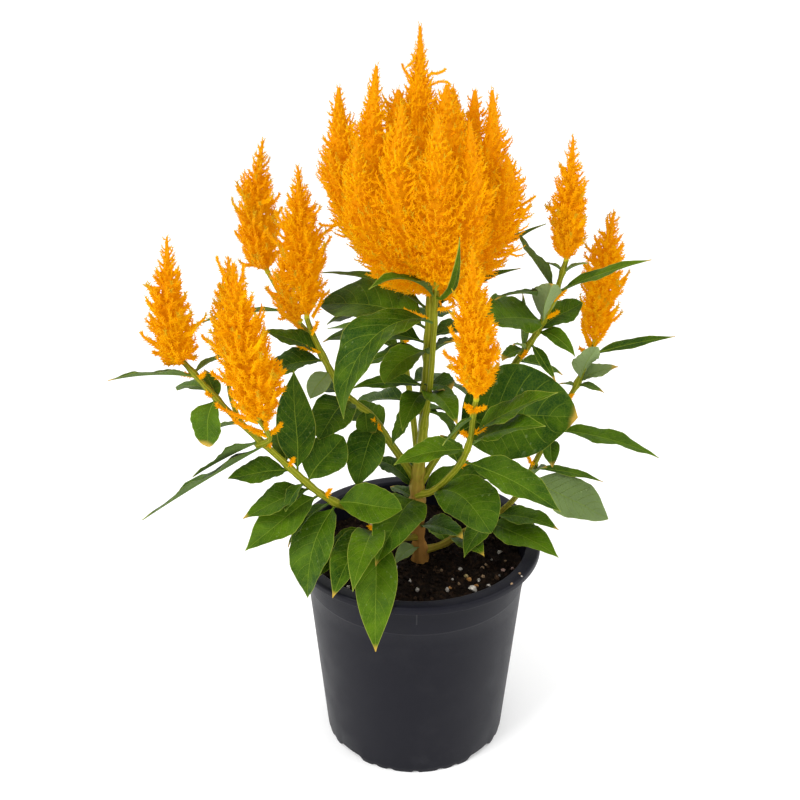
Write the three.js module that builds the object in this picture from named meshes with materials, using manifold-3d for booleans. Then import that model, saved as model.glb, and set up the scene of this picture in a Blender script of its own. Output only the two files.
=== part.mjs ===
// A plume celosia growing in its black nursery pot, at its real size in millimetres, +Z up.
// The pot's foot stands on z = 0 with its axis on the Z axis, and the plant's front is towards -Y.

import * as THREE from 'three';
import { mergeVertices } from 'three/addons/utils/BufferGeometryUtils.js';
import Module from 'manifold-3d';

const wasm = await Module();
wasm.setup();

// ---- Driving dimensions, mm -------------------------------------------------------------------

const GAP = 0.3; // clearance that pieces keep where they touch

const POT_HEIGHT = 148;
const POT_RIM_RADIUS = 82.5;
const POT_FOOT_RADIUS = 61.3;
const POT_SHOULDER_RADIUS = 74;
const POT_SHOULDER_HEIGHT = 142;
const POT_WALL = 1.6;
const POT_FLOOR_HEIGHT = 3.2;
const POT_SIDES = 32;
const STACKING_STEP_HEIGHT = 121;
const STACKING_STEP = 0.5;
const RIM_THICKNESS = 2.3;
const RIM_ROUNDING = 1.7;
const LIP_THICKNESS = 1.5; // the rim turns down at its outer edge
const LIP_DROP = 4.8;
const FOOT_RING_WIDTH = 2.7;

const DRAIN_SLOT_HEADINGS = [46, 134, 226, 314]; // degrees round the pot, 0 at the front
const DRAIN_SLOT = { bottom: 24, top: 16, height: 3.6, below: 2, length: 22 };
const SCALLOP_HEADINGS = [-26, -16, 0, 16, 26]; // degrees from the middle of each foot
const SCALLOP_RADIUS = 3.6;
const SCALLOP_RISE = 1.2;
const DRAIN_HOLES = 6;
const DRAIN_HOLE_RADIUS = 4.5;
const DRAIN_HOLE_CIRCLE = 40; // radius of the circle the holes stand on

const SOIL_HEIGHT = 130;
const SOIL_RELIEF = 1.3;
const TRUNK_HOLE = { x: 4.2, radius: 5.4, bottom: 107, height: 40 };

const STEM_SIDES = 6;
const LEAF_THICKNESS = 0.7;
const PETIOLE_THICKNESS = 1.5;
const PETIOLE_SHARE = 0.1; // share of a leaf's length that is its stalk
const LEAF_RISE = 0.75; // powers of the blade's outline: how it widens from its stalk
const LEAF_FALL = 1.1; // and how it runs out to its tip
const LEAF_STATION = 20; // length of leaf between two stations
const LEAF_WAVE = 1.1; // how far a leaf's edges wave up and down
const LEAF_FOLD = 14; // degrees that each half of a leaf rises from its midrib

const FLORET_REACH = { least: 0.92, spread: 0.22 }; // radius at the florets' tips, in plume radii
const FLORET_VALLEY = 0.62; // radius between the florets, in plume radii
const FLORET_LEAN = { least: 0.3, spread: 0.35 }; // how far florets point up, in ring spacings
const PLUME_NECK = 1.7; // radius of a plume's stalk where it meets its stem
const PLUME_NECK_LENGTH = 6; // stalk below the spires of the main plume
const MAIN_SPIRE_FATTEST = 0.42; // where a spire of the main plume is fattest, from its root
const SIDE_PLUME_BOW = 0.18; // share of a side plume's length that carries straight on its stem
const GOLDEN_ANGLE = 137.508; // degrees from one branchlet of a spire round to the next
const TUFT_RADIUS = 1.7; // branchlets that stand out of a spire: their radius at the root
const TUFT_SPAN = { from: 0.14, to: 0.76 }; // the stretch of a spire that bears them
const TUFT_ROOT = 0.3; // how deep they start, in plume radii
const TUFT_REACH = { least: 1.2, spread: 0.25 }; // how far out they end, in plume radii
const TUFT_RISE = { least: 0.7, spread: 0.3 }; // how far up they end, in plume radii

// Stems: points along each one, and its radius at its root and at its end.
const STEMS = {
  trunk: {
    points: [[5, 0, 108], [2, 0, 150], [1, 0, 187], [4, 0, 220], [6, 1, 255], [8, 4, 300], [8, 5, 322]],
    radii: [4.4, 4.1, 4.6, 3.3, 3.0, 2.7, 2.4],
  },
  fore_shoot: {
    points: [[4, -1, 230], [8, -12, 262], [10, -16, 300], [11, -18, 330]],
    radii: [1.9, 1.6],
  },
  low_shoot: {
    points: [[1, -1, 148], [-13, -22, 160], [-27, -36, 175]],
    radii: [1.9, 1.4],
  },
  left: {
    points: [
      [1, -2, 168], [-14, -13, 172], [-30, -25, 180], [-57, -42, 203],
      [-88, -50, 240], [-112, -52, 268], [-135, -50, 297],
    ],
    radii: [2.5, 1.6],
  },
  left_fore: {
    points: [[-95, -50, 243], [-87, -57, 250], [-88, -63, 260], [-92, -65, 268]],
    radii: [1.7, 1.5],
  },
  left_rear: {
    points: [[-105, -48, 257], [-111, -36, 267], [-114, -22, 273], [-115, -15, 281]],
    radii: [1.4, 1.3],
  },
  rear_left: {
    points: [
      [0, 3, 190], [-19, 3, 220], [-29, 5, 235], [-42, 8, 245],
      [-50, 8, 256], [-59, 10, 275], [-65, 10, 290], [-68, 10, 300],
    ],
    radii: [2.6, 1.6],
  },
  rear_left_side: {
    points: [[-58, 9, 272], [-68, 20, 285], [-80, 34, 294], [-95, 48, 316]],
    radii: [1.7, 1.3],
  },
  front: {
    points: [[1, -2, 181], [12, -10, 189], [26, -35, 221], [31, -52, 247], [32, -63, 271], [33, -68, 282]],
    radii: [2.3, 1.5],
  },
  right: {
    points: [
      [3, 2, 188], [22, 10, 215], [48, 22, 242], [66, 25, 266], [77, 23, 286], [85, 19, 309], [91, 15, 336],
    ],
    radii: [2.4, 1.5],
  },
  far_right: {
    points: [
      [4, 1, 136], [18, 5, 138], [31, 10, 144], [43, 12, 149], [57, 16, 157], [70, 22, 169],
      [84, 30, 196], [100, 38, 228], [107, 41, 241], [117, 45, 268],
    ],
    radii: [2.4, 1.5],
  },
  far_right_bud: {
    points: [[57, 16, 157], [66, 10, 172], [73, 5, 186], [78, 0, 202]],
    radii: [1.4, 1.1],
  },
  rear: {
    points: [[2, 4, 196], [-2, 28, 225], [-8, 52, 262], [-12, 68, 300], [-14, 75, 330]],
    radii: [2.2, 1.5],
  },
};

// Leaves of each stem: how far up the stem each one grows (0 to 1), where its tip is, its width,
// how many degrees it arches over, how many degrees it is rolled and, for a folded one, its fold.
const LEAVES = {
  trunk: [
    [0.87, [-61, 28, 301], 44, 50, -15],
    [0.83, [-60, 30, 275], 28, 45, -10],
    [0.93, [-61, 30, 322], 12, 45, -5],
    [0.81, [-20, -22, 270], 25, 60, 0],
    [0.80, [-39, 10, 265], 16, 40, -10],
    [0.70, [-40, -12, 262], 16, 30, -12],
    [0.67, [24, -44, 253], 20, 75, 0],
    [0.68, [-9, -30, 242], 18, 70, 0],
    [0.62, [20, 20, 230], 22, 40, 0],
    [0.32, [-25, -72, 172], 33, 55, -10],
    [0.32, [59, 6, 190], 26, 50, 10],
    [0.15, [-14, -22, 140], 13, 50, 0],
    [0.31, [-17, 22, 173], 14, 40, 0],
    [0.35, [-27, 22, 194], 22, 50, 0],
    [0.85, [48, 26, 278], 22, 50, 5],
    [0.79, [23, -6, 291], 22, 40, 0],
    [0.70, [21, -10, 259], 24, 60, 0],
  ],
  fore_shoot: [
    [0.78, [-43, -62, 266], 38, 130, 0],
    [0.94, [-28, -46, 340], 14, 80, 0],
    [0.95, [22, -56, 374], 8, -85, 0],
  ],
  low_shoot: [
    [0.98, [-25, -93, 124], 27, 62, 0],
    [0.98, [-59, -72, 165], 23, 40, -6],
    [0.94, [-50, -95, 165], 26, 55, -5],
    [0.94, [-38, -96, 170], 22, 75, 0],
  ],
  left: [
    [0.95, [-173, -75, 297], 13, 22, 22],
    [0.89, [-146, -22, 268], 17, 20, -15],
    [0.85, [-126, -34, 285], 10, 25, 0],
    [0.86, [-122, -66, 250], 22, 75, 10],
    [0.68, [-133, -62, 228], 20, 12, 30],
    [0.66, [-164, -68, 202], 20, 5, 24],
    [0.54, [-112, -62, 227], 21, 4, -18],
    [0.45, [-105, -60, 198], 22, 6, -12],
    [0.48, [-79, -62, 204], 13, 40, 20],
    [0.41, [-104, -66, 179], 27, 15, -20],
    [0.36, [-80, -50, 171], 14, 50, 10],
    [0.34, [-67, -71, 148], 34, 80, 12],
    [0.35, [-9, -46, 196], 28, 12, 32],
    [0.47, [-45, -26, 236], 28, 22, 28],
    [0.51, [-75, -14, 275], 25, 18, -8],
    [0.56, [-87, -16, 239], 14, 18, 0],
  ],
  left_fore: [],
  left_rear: [],
  rear_left: [
    [0.52, [-60, -30, 236], 28, 60, -10],
    [0.58, [-67, 30, 242], 22, 30, -15],
    [0.80, [-96, 8, 292], 19, 25, -15],
    [0.77, [-94, 0, 266], 26, 28, -10],
    [0.71, [-66, -8, 253], 14, 30, -25],
    [0.34, [-37, -30, 203], 26, 75, -5],
    [0.29, [-44, 30, 231], 24, 20, -10],
  ],
  rear_left_side: [
    [0.60, [-143, 30, 286], 9, 28, 12],
  ],
  front: [
    [0.12, [46, -48, 180], 40, 80, 8],
    [0.89, [14, -66, 251], 8, 20, 20],
    [0.74, [78, -74, 289], 20, 22, 18],
    [0.66, [71, -84, 273], 22, 30, 18],
    [0.51, [86, -62, 204], 27, 20, 14],
    [0.46, [15, -8, 228], 14, 30, 0],
    [0.62, [-14, -60, 235], 20, 30, -10],
  ],
  right: [
    [0.20, [100, -14, 243], 66, 46, 48],
    [0.65, [87, 0, 261], 8, 10, 10],
    [0.70, [98, 0, 278], 12, 60, 20],
    [0.70, [105, 30, 302], 22, 20, 20],
    [0.74, [80, -8, 329], 24, 20, -10, 40],
    [0.75, [41, -8, 306], 36, 8, -22],
    [0.83, [47, 2, 315], 10, 60, 12],
    [0.60, [66, 22, 312], 7, 20, 0],
    [0.88, [59, 22, 354], 16, -8, 30],
    [0.87, [139, -2, 342], 11, 14, 22],
    [0.57, [96, 34, 250], 14, 20, 10],
  ],
  far_right: [
    [0.48, [129, 10, 155], 35, -12, 26],
    [0.51, [128, 34, 170], 8, 15, 22],
    [0.29, [92, -18, 164], 18, 38, 14],
    [0.25, [91, -32, 152], 26, 25, 14],
    [0.28, [31, -26, 148], 18, 50, 0],
    [0.12, [44, -26, 149], 20, 55, 8],
    [0.09, [14, 22, 144], 16, 30, 0],
    [0.66, [161, 20, 196], 17, 28, 12],
    [0.86, [117, 34, 270], 18, 20, -30],
    [0.85, [132, 36, 255], 14, 30, 20],
    [0.955, [172, 56, 268], 9, 8, 24],
    [0.63, [90, 14, 192], 12, 50, 0],
  ],
  far_right_bud: [
    [0.71, [56, -8, 206], 12, 30, 0],
  ],
  rear: [
    [0.30, [-50, 62, 205], 26, 50, 0],
    [0.38, [38, 74, 214], 28, 50, 0],
    [0.50, [-60, 84, 262], 24, 45, 0],
    [0.62, [30, 94, 268], 22, 45, 0],
    [0.74, [-24, 97, 262], 20, 70, 0],
  ],
};

// Which stems, with their leaves, grow as one piece; the first of each carries the others.
const BRANCHES = {
  main_stem: { stems: ['trunk', 'fore_shoot', 'low_shoot'], color: 0x4f7a1c },
  branch_left: { stems: ['left', 'left_fore', 'left_rear'], color: 0x568022 },
  branch_rear_left: { stems: ['rear_left', 'rear_left_side'], color: 0x3f6b12 },
  branch_front: { stems: ['front'], color: 0x5c8a26 },
  branch_right: { stems: ['right'], color: 0x4a7a14 },
  branch_far_right: { stems: ['far_right', 'far_right_bud'], color: 0x6b9440 },
  branch_rear: { stems: ['rear'], color: 0x3c6614 },
};

// Side plumes: the stem each one ends, its tip, its radius, and how far up it is fattest.
const SIDE_PLUMES = {
  plume_left: { stem: 'left', tip: [-138, -50, 374], radius: 14.5, fattest: 0.3 },
  plume_left_rear: { stem: 'left_rear', tip: [-111, -10, 348], radius: 11.5, fattest: 0.34 },
  plume_left_fore: { stem: 'left_fore', tip: [-99, -66, 360], radius: 16, fattest: 0.38 },
  plume_rear_left_side: { stem: 'rear_left_side', tip: [-93, 50, 402], radius: 12.5, fattest: 0.36 },
  plume_rear_left: { stem: 'rear_left', tip: [-70, 10, 397], radius: 14.5, fattest: 0.34 },
  plume_front: { stem: 'front', tip: [28, -72, 376], radius: 14, fattest: 0.36 },
  plume_right: { stem: 'right', tip: [89, 15, 413], radius: 11.5, fattest: 0.34 },
  plume_far_right: { stem: 'far_right', tip: [123, 47, 358], radius: 13, fattest: 0.36 },
  plume_rear: { stem: 'rear', tip: [-16, 78, 418], radius: 13.5, fattest: 0.36 },
};

// The spires of the main plume: the point each one bows towards, its tip and its radius.
const MAIN_SPIRES = [
  { bow: [0, 12, 398], tip: [1, 10, 477], radius: 21 },
  { bow: [-64, 14, 331], tip: [-44, 12, 443], radius: 17 },
  { bow: [-39, 4, 352], tip: [-23, 4, 457], radius: 17 },
  { bow: [-15, 26, 351], tip: [-11, 22, 439], radius: 16 },
  { bow: [16, -6, 368], tip: [17, -4, 445], radius: 16 },
  { bow: [40, 20, 340], tip: [34, 18, 439], radius: 14 },
  { bow: [55, 6, 338], tip: [42, 6, 443], radius: 16 },
  { bow: [66, -4, 341], tip: [53, -2, 410], radius: 14 },
  { bow: [-17, -30, 354], tip: [-9, -24, 436], radius: 15 },
  { bow: [-45, -20, 338], tip: [-34, -14, 416], radius: 15 },
  { bow: [-41, 42, 342], tip: [-27, 32, 430], radius: 15 },
  { bow: [-4, 50, 350], tip: [-3, 36, 440], radius: 15 },
  { bow: [40, 44, 342], tip: [26, 34, 432], radius: 15 },
];
const FORE_SPIRES = [
  { bow: [11, -33, 366], tip: [10, -27, 432], radius: 14 },
  { bow: [39, -28, 350], tip: [28, -20, 424], radius: 14 },
];
const STRAY_BRANCHLETS = [
  [[3, 10, 436], [17, 10, 452]],
  [[4, 10, 428], [19, 8, 443]],
  [[-1, 10, 434], [-12, 10, 456]],
  [[48, 0, 372], [68, 2, 384]],
];

// ---- Solids -----------------------------------------------------------------------------------

/** A repeatable source of numbers from 0 to 1. */
function seeded(seed) {
  let state = seed;
  return () => {
    state = (state * 1664525 + 1013904223) % 4294967296;
    return state / 4294967296;
  };
}

function drawn(random, { least, spread }) {
  return least + spread * random();
}

function vector([x, y, z]) {
  return new THREE.Vector3(x, y, z);
}

/** The closed solid whose skin is a geometry. */
function solidOf(geometry) {
  const bare = geometry.clone();
  bare.deleteAttribute('normal');
  bare.deleteAttribute('uv');
  const merged = mergeVertices(bare, 1e-4);
  const mesh = new wasm.Mesh({
    numProp: 3,
    vertProperties: new Float32Array(merged.attributes.position.array),
    triVerts: new Uint32Array(merged.index.array),
  });
  return new wasm.Manifold(mesh);
}

function geometryOf(solid) {
  const mesh = solid.getMesh();
  const geometry = new THREE.BufferGeometry();
  geometry.setAttribute('position', new THREE.BufferAttribute(mesh.vertProperties, 3));
  geometry.setIndex(new THREE.BufferAttribute(mesh.triVerts, 1));
  return geometry;
}

/** Solids joined into one, with any scrap that the joining leaves loose dropped. */
function fuse(solids) {
  const joined = solids.reduce((all, next) => all.add(next));
  return joined.decompose().sort((a, b) => b.volume() - a.volume())[0];
}

/**
 * A closed skin over rings that all have the same number of points, shut by a fan at each end.
 * Each quad for which `splitOther(ring, column)` is true is split along its other diagonal.
 */
function loft(rings, splitOther = () => false) {
  const count = rings[0].length;
  const points = rings.flat();
  const middle = (ring) => ring.reduce((sum, p) => sum.add(p), vector([0, 0, 0])).divideScalar(count);
  points.push(middle(rings[0]), middle(rings[rings.length - 1]));
  const [first, last] = [points.length - 2, points.length - 1];
  const top = (rings.length - 1) * count;
  const index = [];
  for (let j = 0; j < count; j += 1) {
    const k = (j + 1) % count;
    index.push(first, k, j, last, top + j, top + k);
    for (let i = 0; i < rings.length - 1; i += 1) {
      const [a, b, c, d] = [i * count + j, i * count + k, (i + 1) * count + k, (i + 1) * count + j];
      if (splitOther(i, j)) index.push(a, b, d, b, c, d);
      else index.push(a, b, c, a, c, d);
    }
  }
  const geometry = new THREE.BufferGeometry().setFromPoints(points);
  geometry.setIndex(index);
  return geometry;
}

/** The unit vector across a direction at an angle round it, in radians. */
function outward(direction, angle) {
  const side = direction.clone().cross(new THREE.Vector3(0, 1, 0)).normalize();
  const other = direction.clone().cross(side).normalize();
  return side.multiplyScalar(Math.cos(angle)).addScaledVector(other, Math.sin(angle));
}

/** A ring of points round a centre, across a direction. */
function ringAcross(centre, direction, radius, sides) {
  return Array.from({ length: sides }, (_, j) => (
    centre.clone().addScaledVector(outward(direction, (2 * Math.PI * j) / sides), radius)
  ));
}

// ---- Pot and soil -----------------------------------------------------------------------------

/** How far the pot's tapering wall reaches outside, with a shallow step near its top. */
function potOuterRadius(z) {
  const slope = (POT_SHOULDER_RADIUS - POT_FOOT_RADIUS) / POT_SHOULDER_HEIGHT;
  return POT_FOOT_RADIUS + slope * z + (z > STACKING_STEP_HEIGHT ? STACKING_STEP : 0);
}

/** How far it reaches inside, where it tapers without a step. */
function potInnerRadius(z) {
  return potOuterRadius(z) - POT_WALL - (z > STACKING_STEP_HEIGHT ? STACKING_STEP : 0);
}

/** A turned solid from a profile of [radius, height] points. */
function turned(profile) {
  const lathe = new THREE.LatheGeometry(profile.map(([r, z]) => new THREE.Vector2(r, z)), POT_SIDES);
  lathe.rotateX(Math.PI / 2);
  return solidOf(lathe);
}

/** The pot's wall, floor and turned-over rim, before its foot is cut. */
function potBlank() {
  const floorTop = POT_FLOOR_HEIGHT + POT_WALL;
  const [stepBottom, stepTop] = [STACKING_STEP_HEIGHT - 0.5, STACKING_STEP_HEIGHT + 0.5];
  const foot = [
    [0, POT_FLOOR_HEIGHT],
    [POT_FOOT_RADIUS - FOOT_RING_WIDTH - 0.4, POT_FLOOR_HEIGHT],
    [POT_FOOT_RADIUS - FOOT_RING_WIDTH, 0],
    [POT_FOOT_RADIUS, 0],
  ];
  const outerWall = [
    [potOuterRadius(stepBottom), stepBottom],
    [potOuterRadius(stepTop), stepTop],
    [potOuterRadius(POT_HEIGHT - RIM_THICKNESS), POT_HEIGHT - RIM_THICKNESS],
  ];
  const rim = [
    [POT_RIM_RADIUS - LIP_THICKNESS, POT_HEIGHT - RIM_THICKNESS],
    [POT_RIM_RADIUS - LIP_THICKNESS, POT_HEIGHT - LIP_DROP],
    [POT_RIM_RADIUS, POT_HEIGHT - LIP_DROP],
    [POT_RIM_RADIUS, POT_HEIGHT - RIM_ROUNDING],
    [POT_RIM_RADIUS - RIM_ROUNDING, POT_HEIGHT],
    [potInnerRadius(POT_SHOULDER_HEIGHT) + RIM_ROUNDING, POT_HEIGHT],
    [potInnerRadius(POT_SHOULDER_HEIGHT), POT_HEIGHT - RIM_THICKNESS],
  ];
  return turned([...foot, ...outerWall, ...rim, [potInnerRadius(floorTop), floorTop], [0, floorTop]]);
}

/** A wedge-sided bar that lies through the foot ring and leaves a drain slot. */
function drainSlot(heading) {
  const { bottom, top, height, below, length } = DRAIN_SLOT;
  const shape = new THREE.Shape([
    new THREE.Vector2(-bottom / 2, -below),
    new THREE.Vector2(bottom / 2, -below),
    new THREE.Vector2(top / 2, height),
    new THREE.Vector2(-top / 2, height),
  ]);
  const bar = new THREE.ExtrudeGeometry(shape, { depth: length, bevelEnabled: false });
  bar.rotateX(Math.PI / 2);
  bar.translate(0, length / 2 - POT_FOOT_RADIUS, 0);
  bar.rotateZ(THREE.MathUtils.degToRad(heading));
  return solidOf(bar);
}

/** A round bar that leaves one shallow scallop in the pot's bottom edge. */
function scallop(heading) {
  const bar = new THREE.CylinderGeometry(SCALLOP_RADIUS, SCALLOP_RADIUS, 10, 6);
  bar.rotateY(Math.PI / 6);
  bar.translate(0, -POT_FOOT_RADIUS, SCALLOP_RISE - SCALLOP_RADIUS);
  bar.rotateZ(THREE.MathUtils.degToRad(heading));
  return solidOf(bar);
}

function drainHole(heading) {
  const drill = new THREE.CylinderGeometry(DRAIN_HOLE_RADIUS, DRAIN_HOLE_RADIUS, 12, 8);
  drill.rotateX(Math.PI / 2);
  drill.translate(DRAIN_HOLE_CIRCLE, 0, POT_FLOOR_HEIGHT);
  drill.rotateZ(THREE.MathUtils.degToRad(heading));
  return solidOf(drill);
}

function pot() {
  let body = potBlank();
  for (const heading of DRAIN_SLOT_HEADINGS) body = body.subtract(drainSlot(heading));
  for (const foot of [0, 90, 180, 270]) {
    for (const heading of SCALLOP_HEADINGS) body = body.subtract(scallop(foot + heading));
  }
  for (let hole = 0; hole < DRAIN_HOLES; hole += 1) {
    body = body.subtract(drainHole((360 * hole) / DRAIN_HOLES));
  }
  return body;
}

/** The peat that fills the pot, with an uneven top and a plain hole for the trunk. */
function soil() {
  const random = seeded(5);
  const bottom = POT_FLOOR_HEIGHT + POT_WALL + GAP;
  const level = (radius, z, relief = 0) => Array.from({ length: POT_SIDES }, (_, j) => {
    const angle = (2 * Math.PI * j) / POT_SIDES;
    const height = z + relief * (2 * random() - 1);
    return new THREE.Vector3(radius * Math.cos(angle), radius * Math.sin(angle), height);
  });
  const wall = (z) => potInnerRadius(z) * Math.cos(Math.PI / POT_SIDES) - GAP;
  const rings = [level(wall(bottom), bottom), level(wall(SOIL_HEIGHT - 2), SOIL_HEIGHT - 2)];
  for (const share of [0.93, 0.7, 0.45, 0.2]) {
    rings.push(level(share * wall(SOIL_HEIGHT), SOIL_HEIGHT, SOIL_RELIEF * Math.min(1, share * 2)));
  }
  const hole = new THREE.CylinderGeometry(TRUNK_HOLE.radius, TRUNK_HOLE.radius, TRUNK_HOLE.height, 12);
  hole.rotateX(Math.PI / 2);
  hole.translate(TRUNK_HOLE.x, 0, TRUNK_HOLE.bottom + TRUNK_HOLE.height / 2);
  return solidOf(loft(rings)).subtract(solidOf(hole));
}

// ---- Stems and leaves -------------------------------------------------------------------------

const curves = Object.fromEntries(Object.entries(STEMS).map(([name, { points }]) => (
  [name, new THREE.CatmullRomCurve3(points.map(vector), false, 'catmullrom', 0.5)]
)));

function radiusAlong(radii, share) {
  const place = share * (radii.length - 1);
  const low = Math.min(Math.floor(place), radii.length - 2);
  return radii[low] + (radii[low + 1] - radii[low]) * (place - low);
}

/** A tapering stem along its curve, fattened all over by `margin`. */
function stem(name, margin = 0) {
  const { points, radii } = STEMS[name];
  const steps = Math.round(1.5 * (points.length - 1));
  const rings = [];
  for (let i = 0; i <= steps; i += 1) {
    const share = i / steps;
    const centre = curves[name].getPoint(share);
    const direction = curves[name].getTangent(share);
    if (margin && i === steps) centre.addScaledVector(direction, margin);
    rings.push(ringAcross(centre, direction, radiusAlong(radii, share) + margin, STEM_SIDES));
  }
  return solidOf(loft(rings));
}

/** How wide a blade is from its stalk (0) to its tip (1), as a share of its greatest width. */
function leafSwell(blade) {
  const widest = LEAF_RISE / (LEAF_RISE + LEAF_FALL);
  const greatest = widest ** LEAF_RISE * (1 - widest) ** LEAF_FALL;
  return (blade ** LEAF_RISE * (1 - blade) ** LEAF_FALL) / greatest;
}

/**
 * One leaf. Its midrib is an arc from the stem to the tip that arches over by `arch` degrees; its
 * half-width grows fast from the stalk and runs out in a long point; each half rises from the
 * midrib by `fold` degrees, and the edges wave up and down from station to station.
 */
function leaf(stemName, [share, tip, width, arch, roll, fold = LEAF_FOLD]) {
  const rad = THREE.MathUtils.degToRad;
  const base = curves[stemName].getPointAt(share);
  const chord = vector(tip).sub(base);
  const heading = Math.atan2(chord.y, chord.x);
  const bend = rad(arch);
  const start = Math.atan2(chord.z, Math.hypot(chord.x, chord.y)) + bend / 2;
  const length = (chord.length() * (bend / 2)) / Math.sin(bend / 2);
  const ahead = new THREE.Vector3(Math.cos(heading), Math.sin(heading), 0);
  const across = new THREE.Vector3(-Math.sin(heading), Math.cos(heading), 0);
  const up = new THREE.Vector3(0, 0, 1);
  const stations = THREE.MathUtils.clamp(Math.round(length / LEAF_STATION) + 2, 4, 7);
  const rings = [];
  for (let i = 0; i < stations; i += 1) {
    const s = i / (stations - 1);
    const rise = start - bend * s;
    const middle = base.clone()
      .addScaledVector(ahead, (length * (Math.sin(start) - Math.sin(rise))) / bend)
      .addScaledVector(up, (length * (Math.cos(rise) - Math.cos(start))) / bend);
    const run = ahead.clone().multiplyScalar(Math.cos(rise)).addScaledVector(up, Math.sin(rise));
    const normal = run.clone().cross(across);
    const side = across.clone().applyAxisAngle(run, rad(roll));
    normal.applyAxisAngle(run, rad(roll));
    const blade = Math.max(0, (s - PETIOLE_SHARE) / (1 - PETIOLE_SHARE));
    const swell = leafSwell(blade);
    const half = Math.max(0.8 - 0.3 * s, (swell * width) / 2);
    const wave = LEAF_WAVE * Math.min(1, swell) * (i % 2 ? 1 : -1) * Math.min(1, width / 20);
    const thickness = s < PETIOLE_SHARE ? PETIOLE_THICKNESS : LEAF_THICKNESS;
    const at = (edge, depth) => middle.clone()
      .addScaledVector(side, edge * half * Math.cos(rad(fold)))
      .addScaledVector(normal, Math.abs(edge) * (half * Math.sin(rad(fold)) + wave) - depth);
    rings.push([
      at(-1, thickness), at(0, thickness), at(1, thickness), at(1, 0), at(0, 0), at(-1, 0),
    ]);
  }
  return solidOf(loft(rings, (_, column) => column === 1 || column === 4));
}

/** A leafy branch: its stems and all their leaves, in one piece, cut clear of the trunk. */
function branch(name) {
  const grown = BRANCHES[name].stems.flatMap((stemName) => [
    stem(stemName), ...LEAVES[stemName].map((row) => leaf(stemName, row)),
  ]);
  if (name === 'main_stem') return fuse(grown);
  return fuse([fuse(grown).subtract(stem('trunk', GAP))]);
}

// ---- Plumes -----------------------------------------------------------------------------------

/** Where a plume leaves its stem, just clear of the stem's end. */
function plumeRoot(stemName) {
  const curve = curves[stemName];
  return curve.getPoint(1).addScaledVector(curve.getTangent(1), GAP);
}

/** How fat a plume is along its length, as a share of its greatest radius. */
function plumeProfile(share, fattest) {
  const fall = (1 - fattest) / fattest;
  return ((share * (1 - share) ** fall) / (fattest * (1 - fattest) ** fall)) ** 0.7;
}

/** A slim three-sided branchlet from one point to another. */
function branchlet(from, to, radius) {
  const along = to.clone().sub(from);
  const cone = new THREE.ConeGeometry(radius, along.length(), 3);
  cone.translate(0, along.length() / 2, 0);
  const turn = new THREE.Quaternion().setFromUnitVectors(new THREE.Vector3(0, 1, 0), along.normalize());
  cone.applyQuaternion(turn);
  cone.translate(from.x, from.y, from.z);
  return solidOf(cone);
}

/**
 * One spire of florets on a bowed axis. Rings of points stand across the axis; every other point
 * is a floret's tip, pushed out and up, and the points between are the valleys round it, so each
 * floret is a four-sided spike. Longer branchlets stand out of it by the golden angle.
 */
function spire(root, bow, tip, radius, fattest, { rings: steps, sides, tufts, seed }) {
  const random = seeded(seed);
  const axis = new THREE.QuadraticBezierCurve3(root, vector(bow), vector(tip));
  const spacing = axis.getLength() / steps;
  const rings = [];
  for (let i = 0; i <= steps; i += 1) {
    const share = i / steps;
    const centre = axis.getPoint(share);
    const direction = axis.getTangent(share);
    const girth = Math.max(i === 0 ? PLUME_NECK : 1, radius * plumeProfile(share, fattest));
    const ring = ringAcross(centre, direction, girth, sides);
    const spiky = i > 0 && i < steps;
    rings.push(spiky ? ring.map((point, j) => {
      const peak = (i + j) % 2 === 0;
      const reach = peak ? drawn(random, FLORET_REACH) : FLORET_VALLEY;
      const lean = peak ? spacing * drawn(random, FLORET_LEAN) : 0;
      return point.lerpVectors(centre, point, reach).addScaledVector(direction, lean);
    }) : ring);
  }
  const parts = [solidOf(loft(rings, (i, j) => (i + j) % 2 === 0))];
  for (let k = 0; k < tufts; k += 1) {
    const share = TUFT_SPAN.from + ((TUFT_SPAN.to - TUFT_SPAN.from) * k) / tufts;
    const direction = axis.getTangent(share);
    const out = outward(direction, THREE.MathUtils.degToRad(GOLDEN_ANGLE * k + 40 * seed));
    const girth = radius * plumeProfile(share, fattest);
    const from = axis.getPoint(share).addScaledVector(out, TUFT_ROOT * girth);
    const to = axis.getPoint(share)
      .addScaledVector(out, girth * drawn(random, TUFT_REACH))
      .addScaledVector(direction, girth * drawn(random, TUFT_RISE));
    parts.push(branchlet(from, to, TUFT_RADIUS));
  }
  return fuse(parts);
}

function sidePlume({ stem: stemName, tip, radius, fattest }, seed) {
  const root = plumeRoot(stemName);
  const carry = SIDE_PLUME_BOW * root.distanceTo(vector(tip));
  const bow = root.clone().addScaledVector(curves[stemName].getTangent(1), carry);
  return spire(root, bow.toArray(), tip, radius, fattest, { rings: 11, sides: 8, tufts: 6, seed });
}

/** The main plume: a goblet of spires that rise from the ends of the trunk and its fore shoot. */
function mainPlume() {
  const parts = [];
  const grow = (stemName, spires, seed) => {
    const root = plumeRoot(stemName);
    const crown = root.clone().addScaledVector(curves[stemName].getTangent(1), PLUME_NECK_LENGTH);
    parts.push(solidOf(loft([root, crown].map((end) => (
      ringAcross(end, curves[stemName].getTangent(1), PLUME_NECK, STEM_SIDES)
    )))));
    spires.forEach(({ bow, tip, radius }, k) => {
      const form = { rings: 8, sides: 8, tufts: 2, seed: seed + k };
      parts.push(spire(crown, bow, tip, radius, MAIN_SPIRE_FATTEST, form));
    });
  };
  grow('trunk', MAIN_SPIRES, 20);
  grow('fore_shoot', FORE_SPIRES, 50);
  STRAY_BRANCHLETS.forEach(([from, to]) => parts.push(branchlet(vector(from), vector(to), TUFT_RADIUS)));
  return fuse(parts);
}

// ---- The plant in its pot ---------------------------------------------------------------------

const plant = new THREE.Group();

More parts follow.
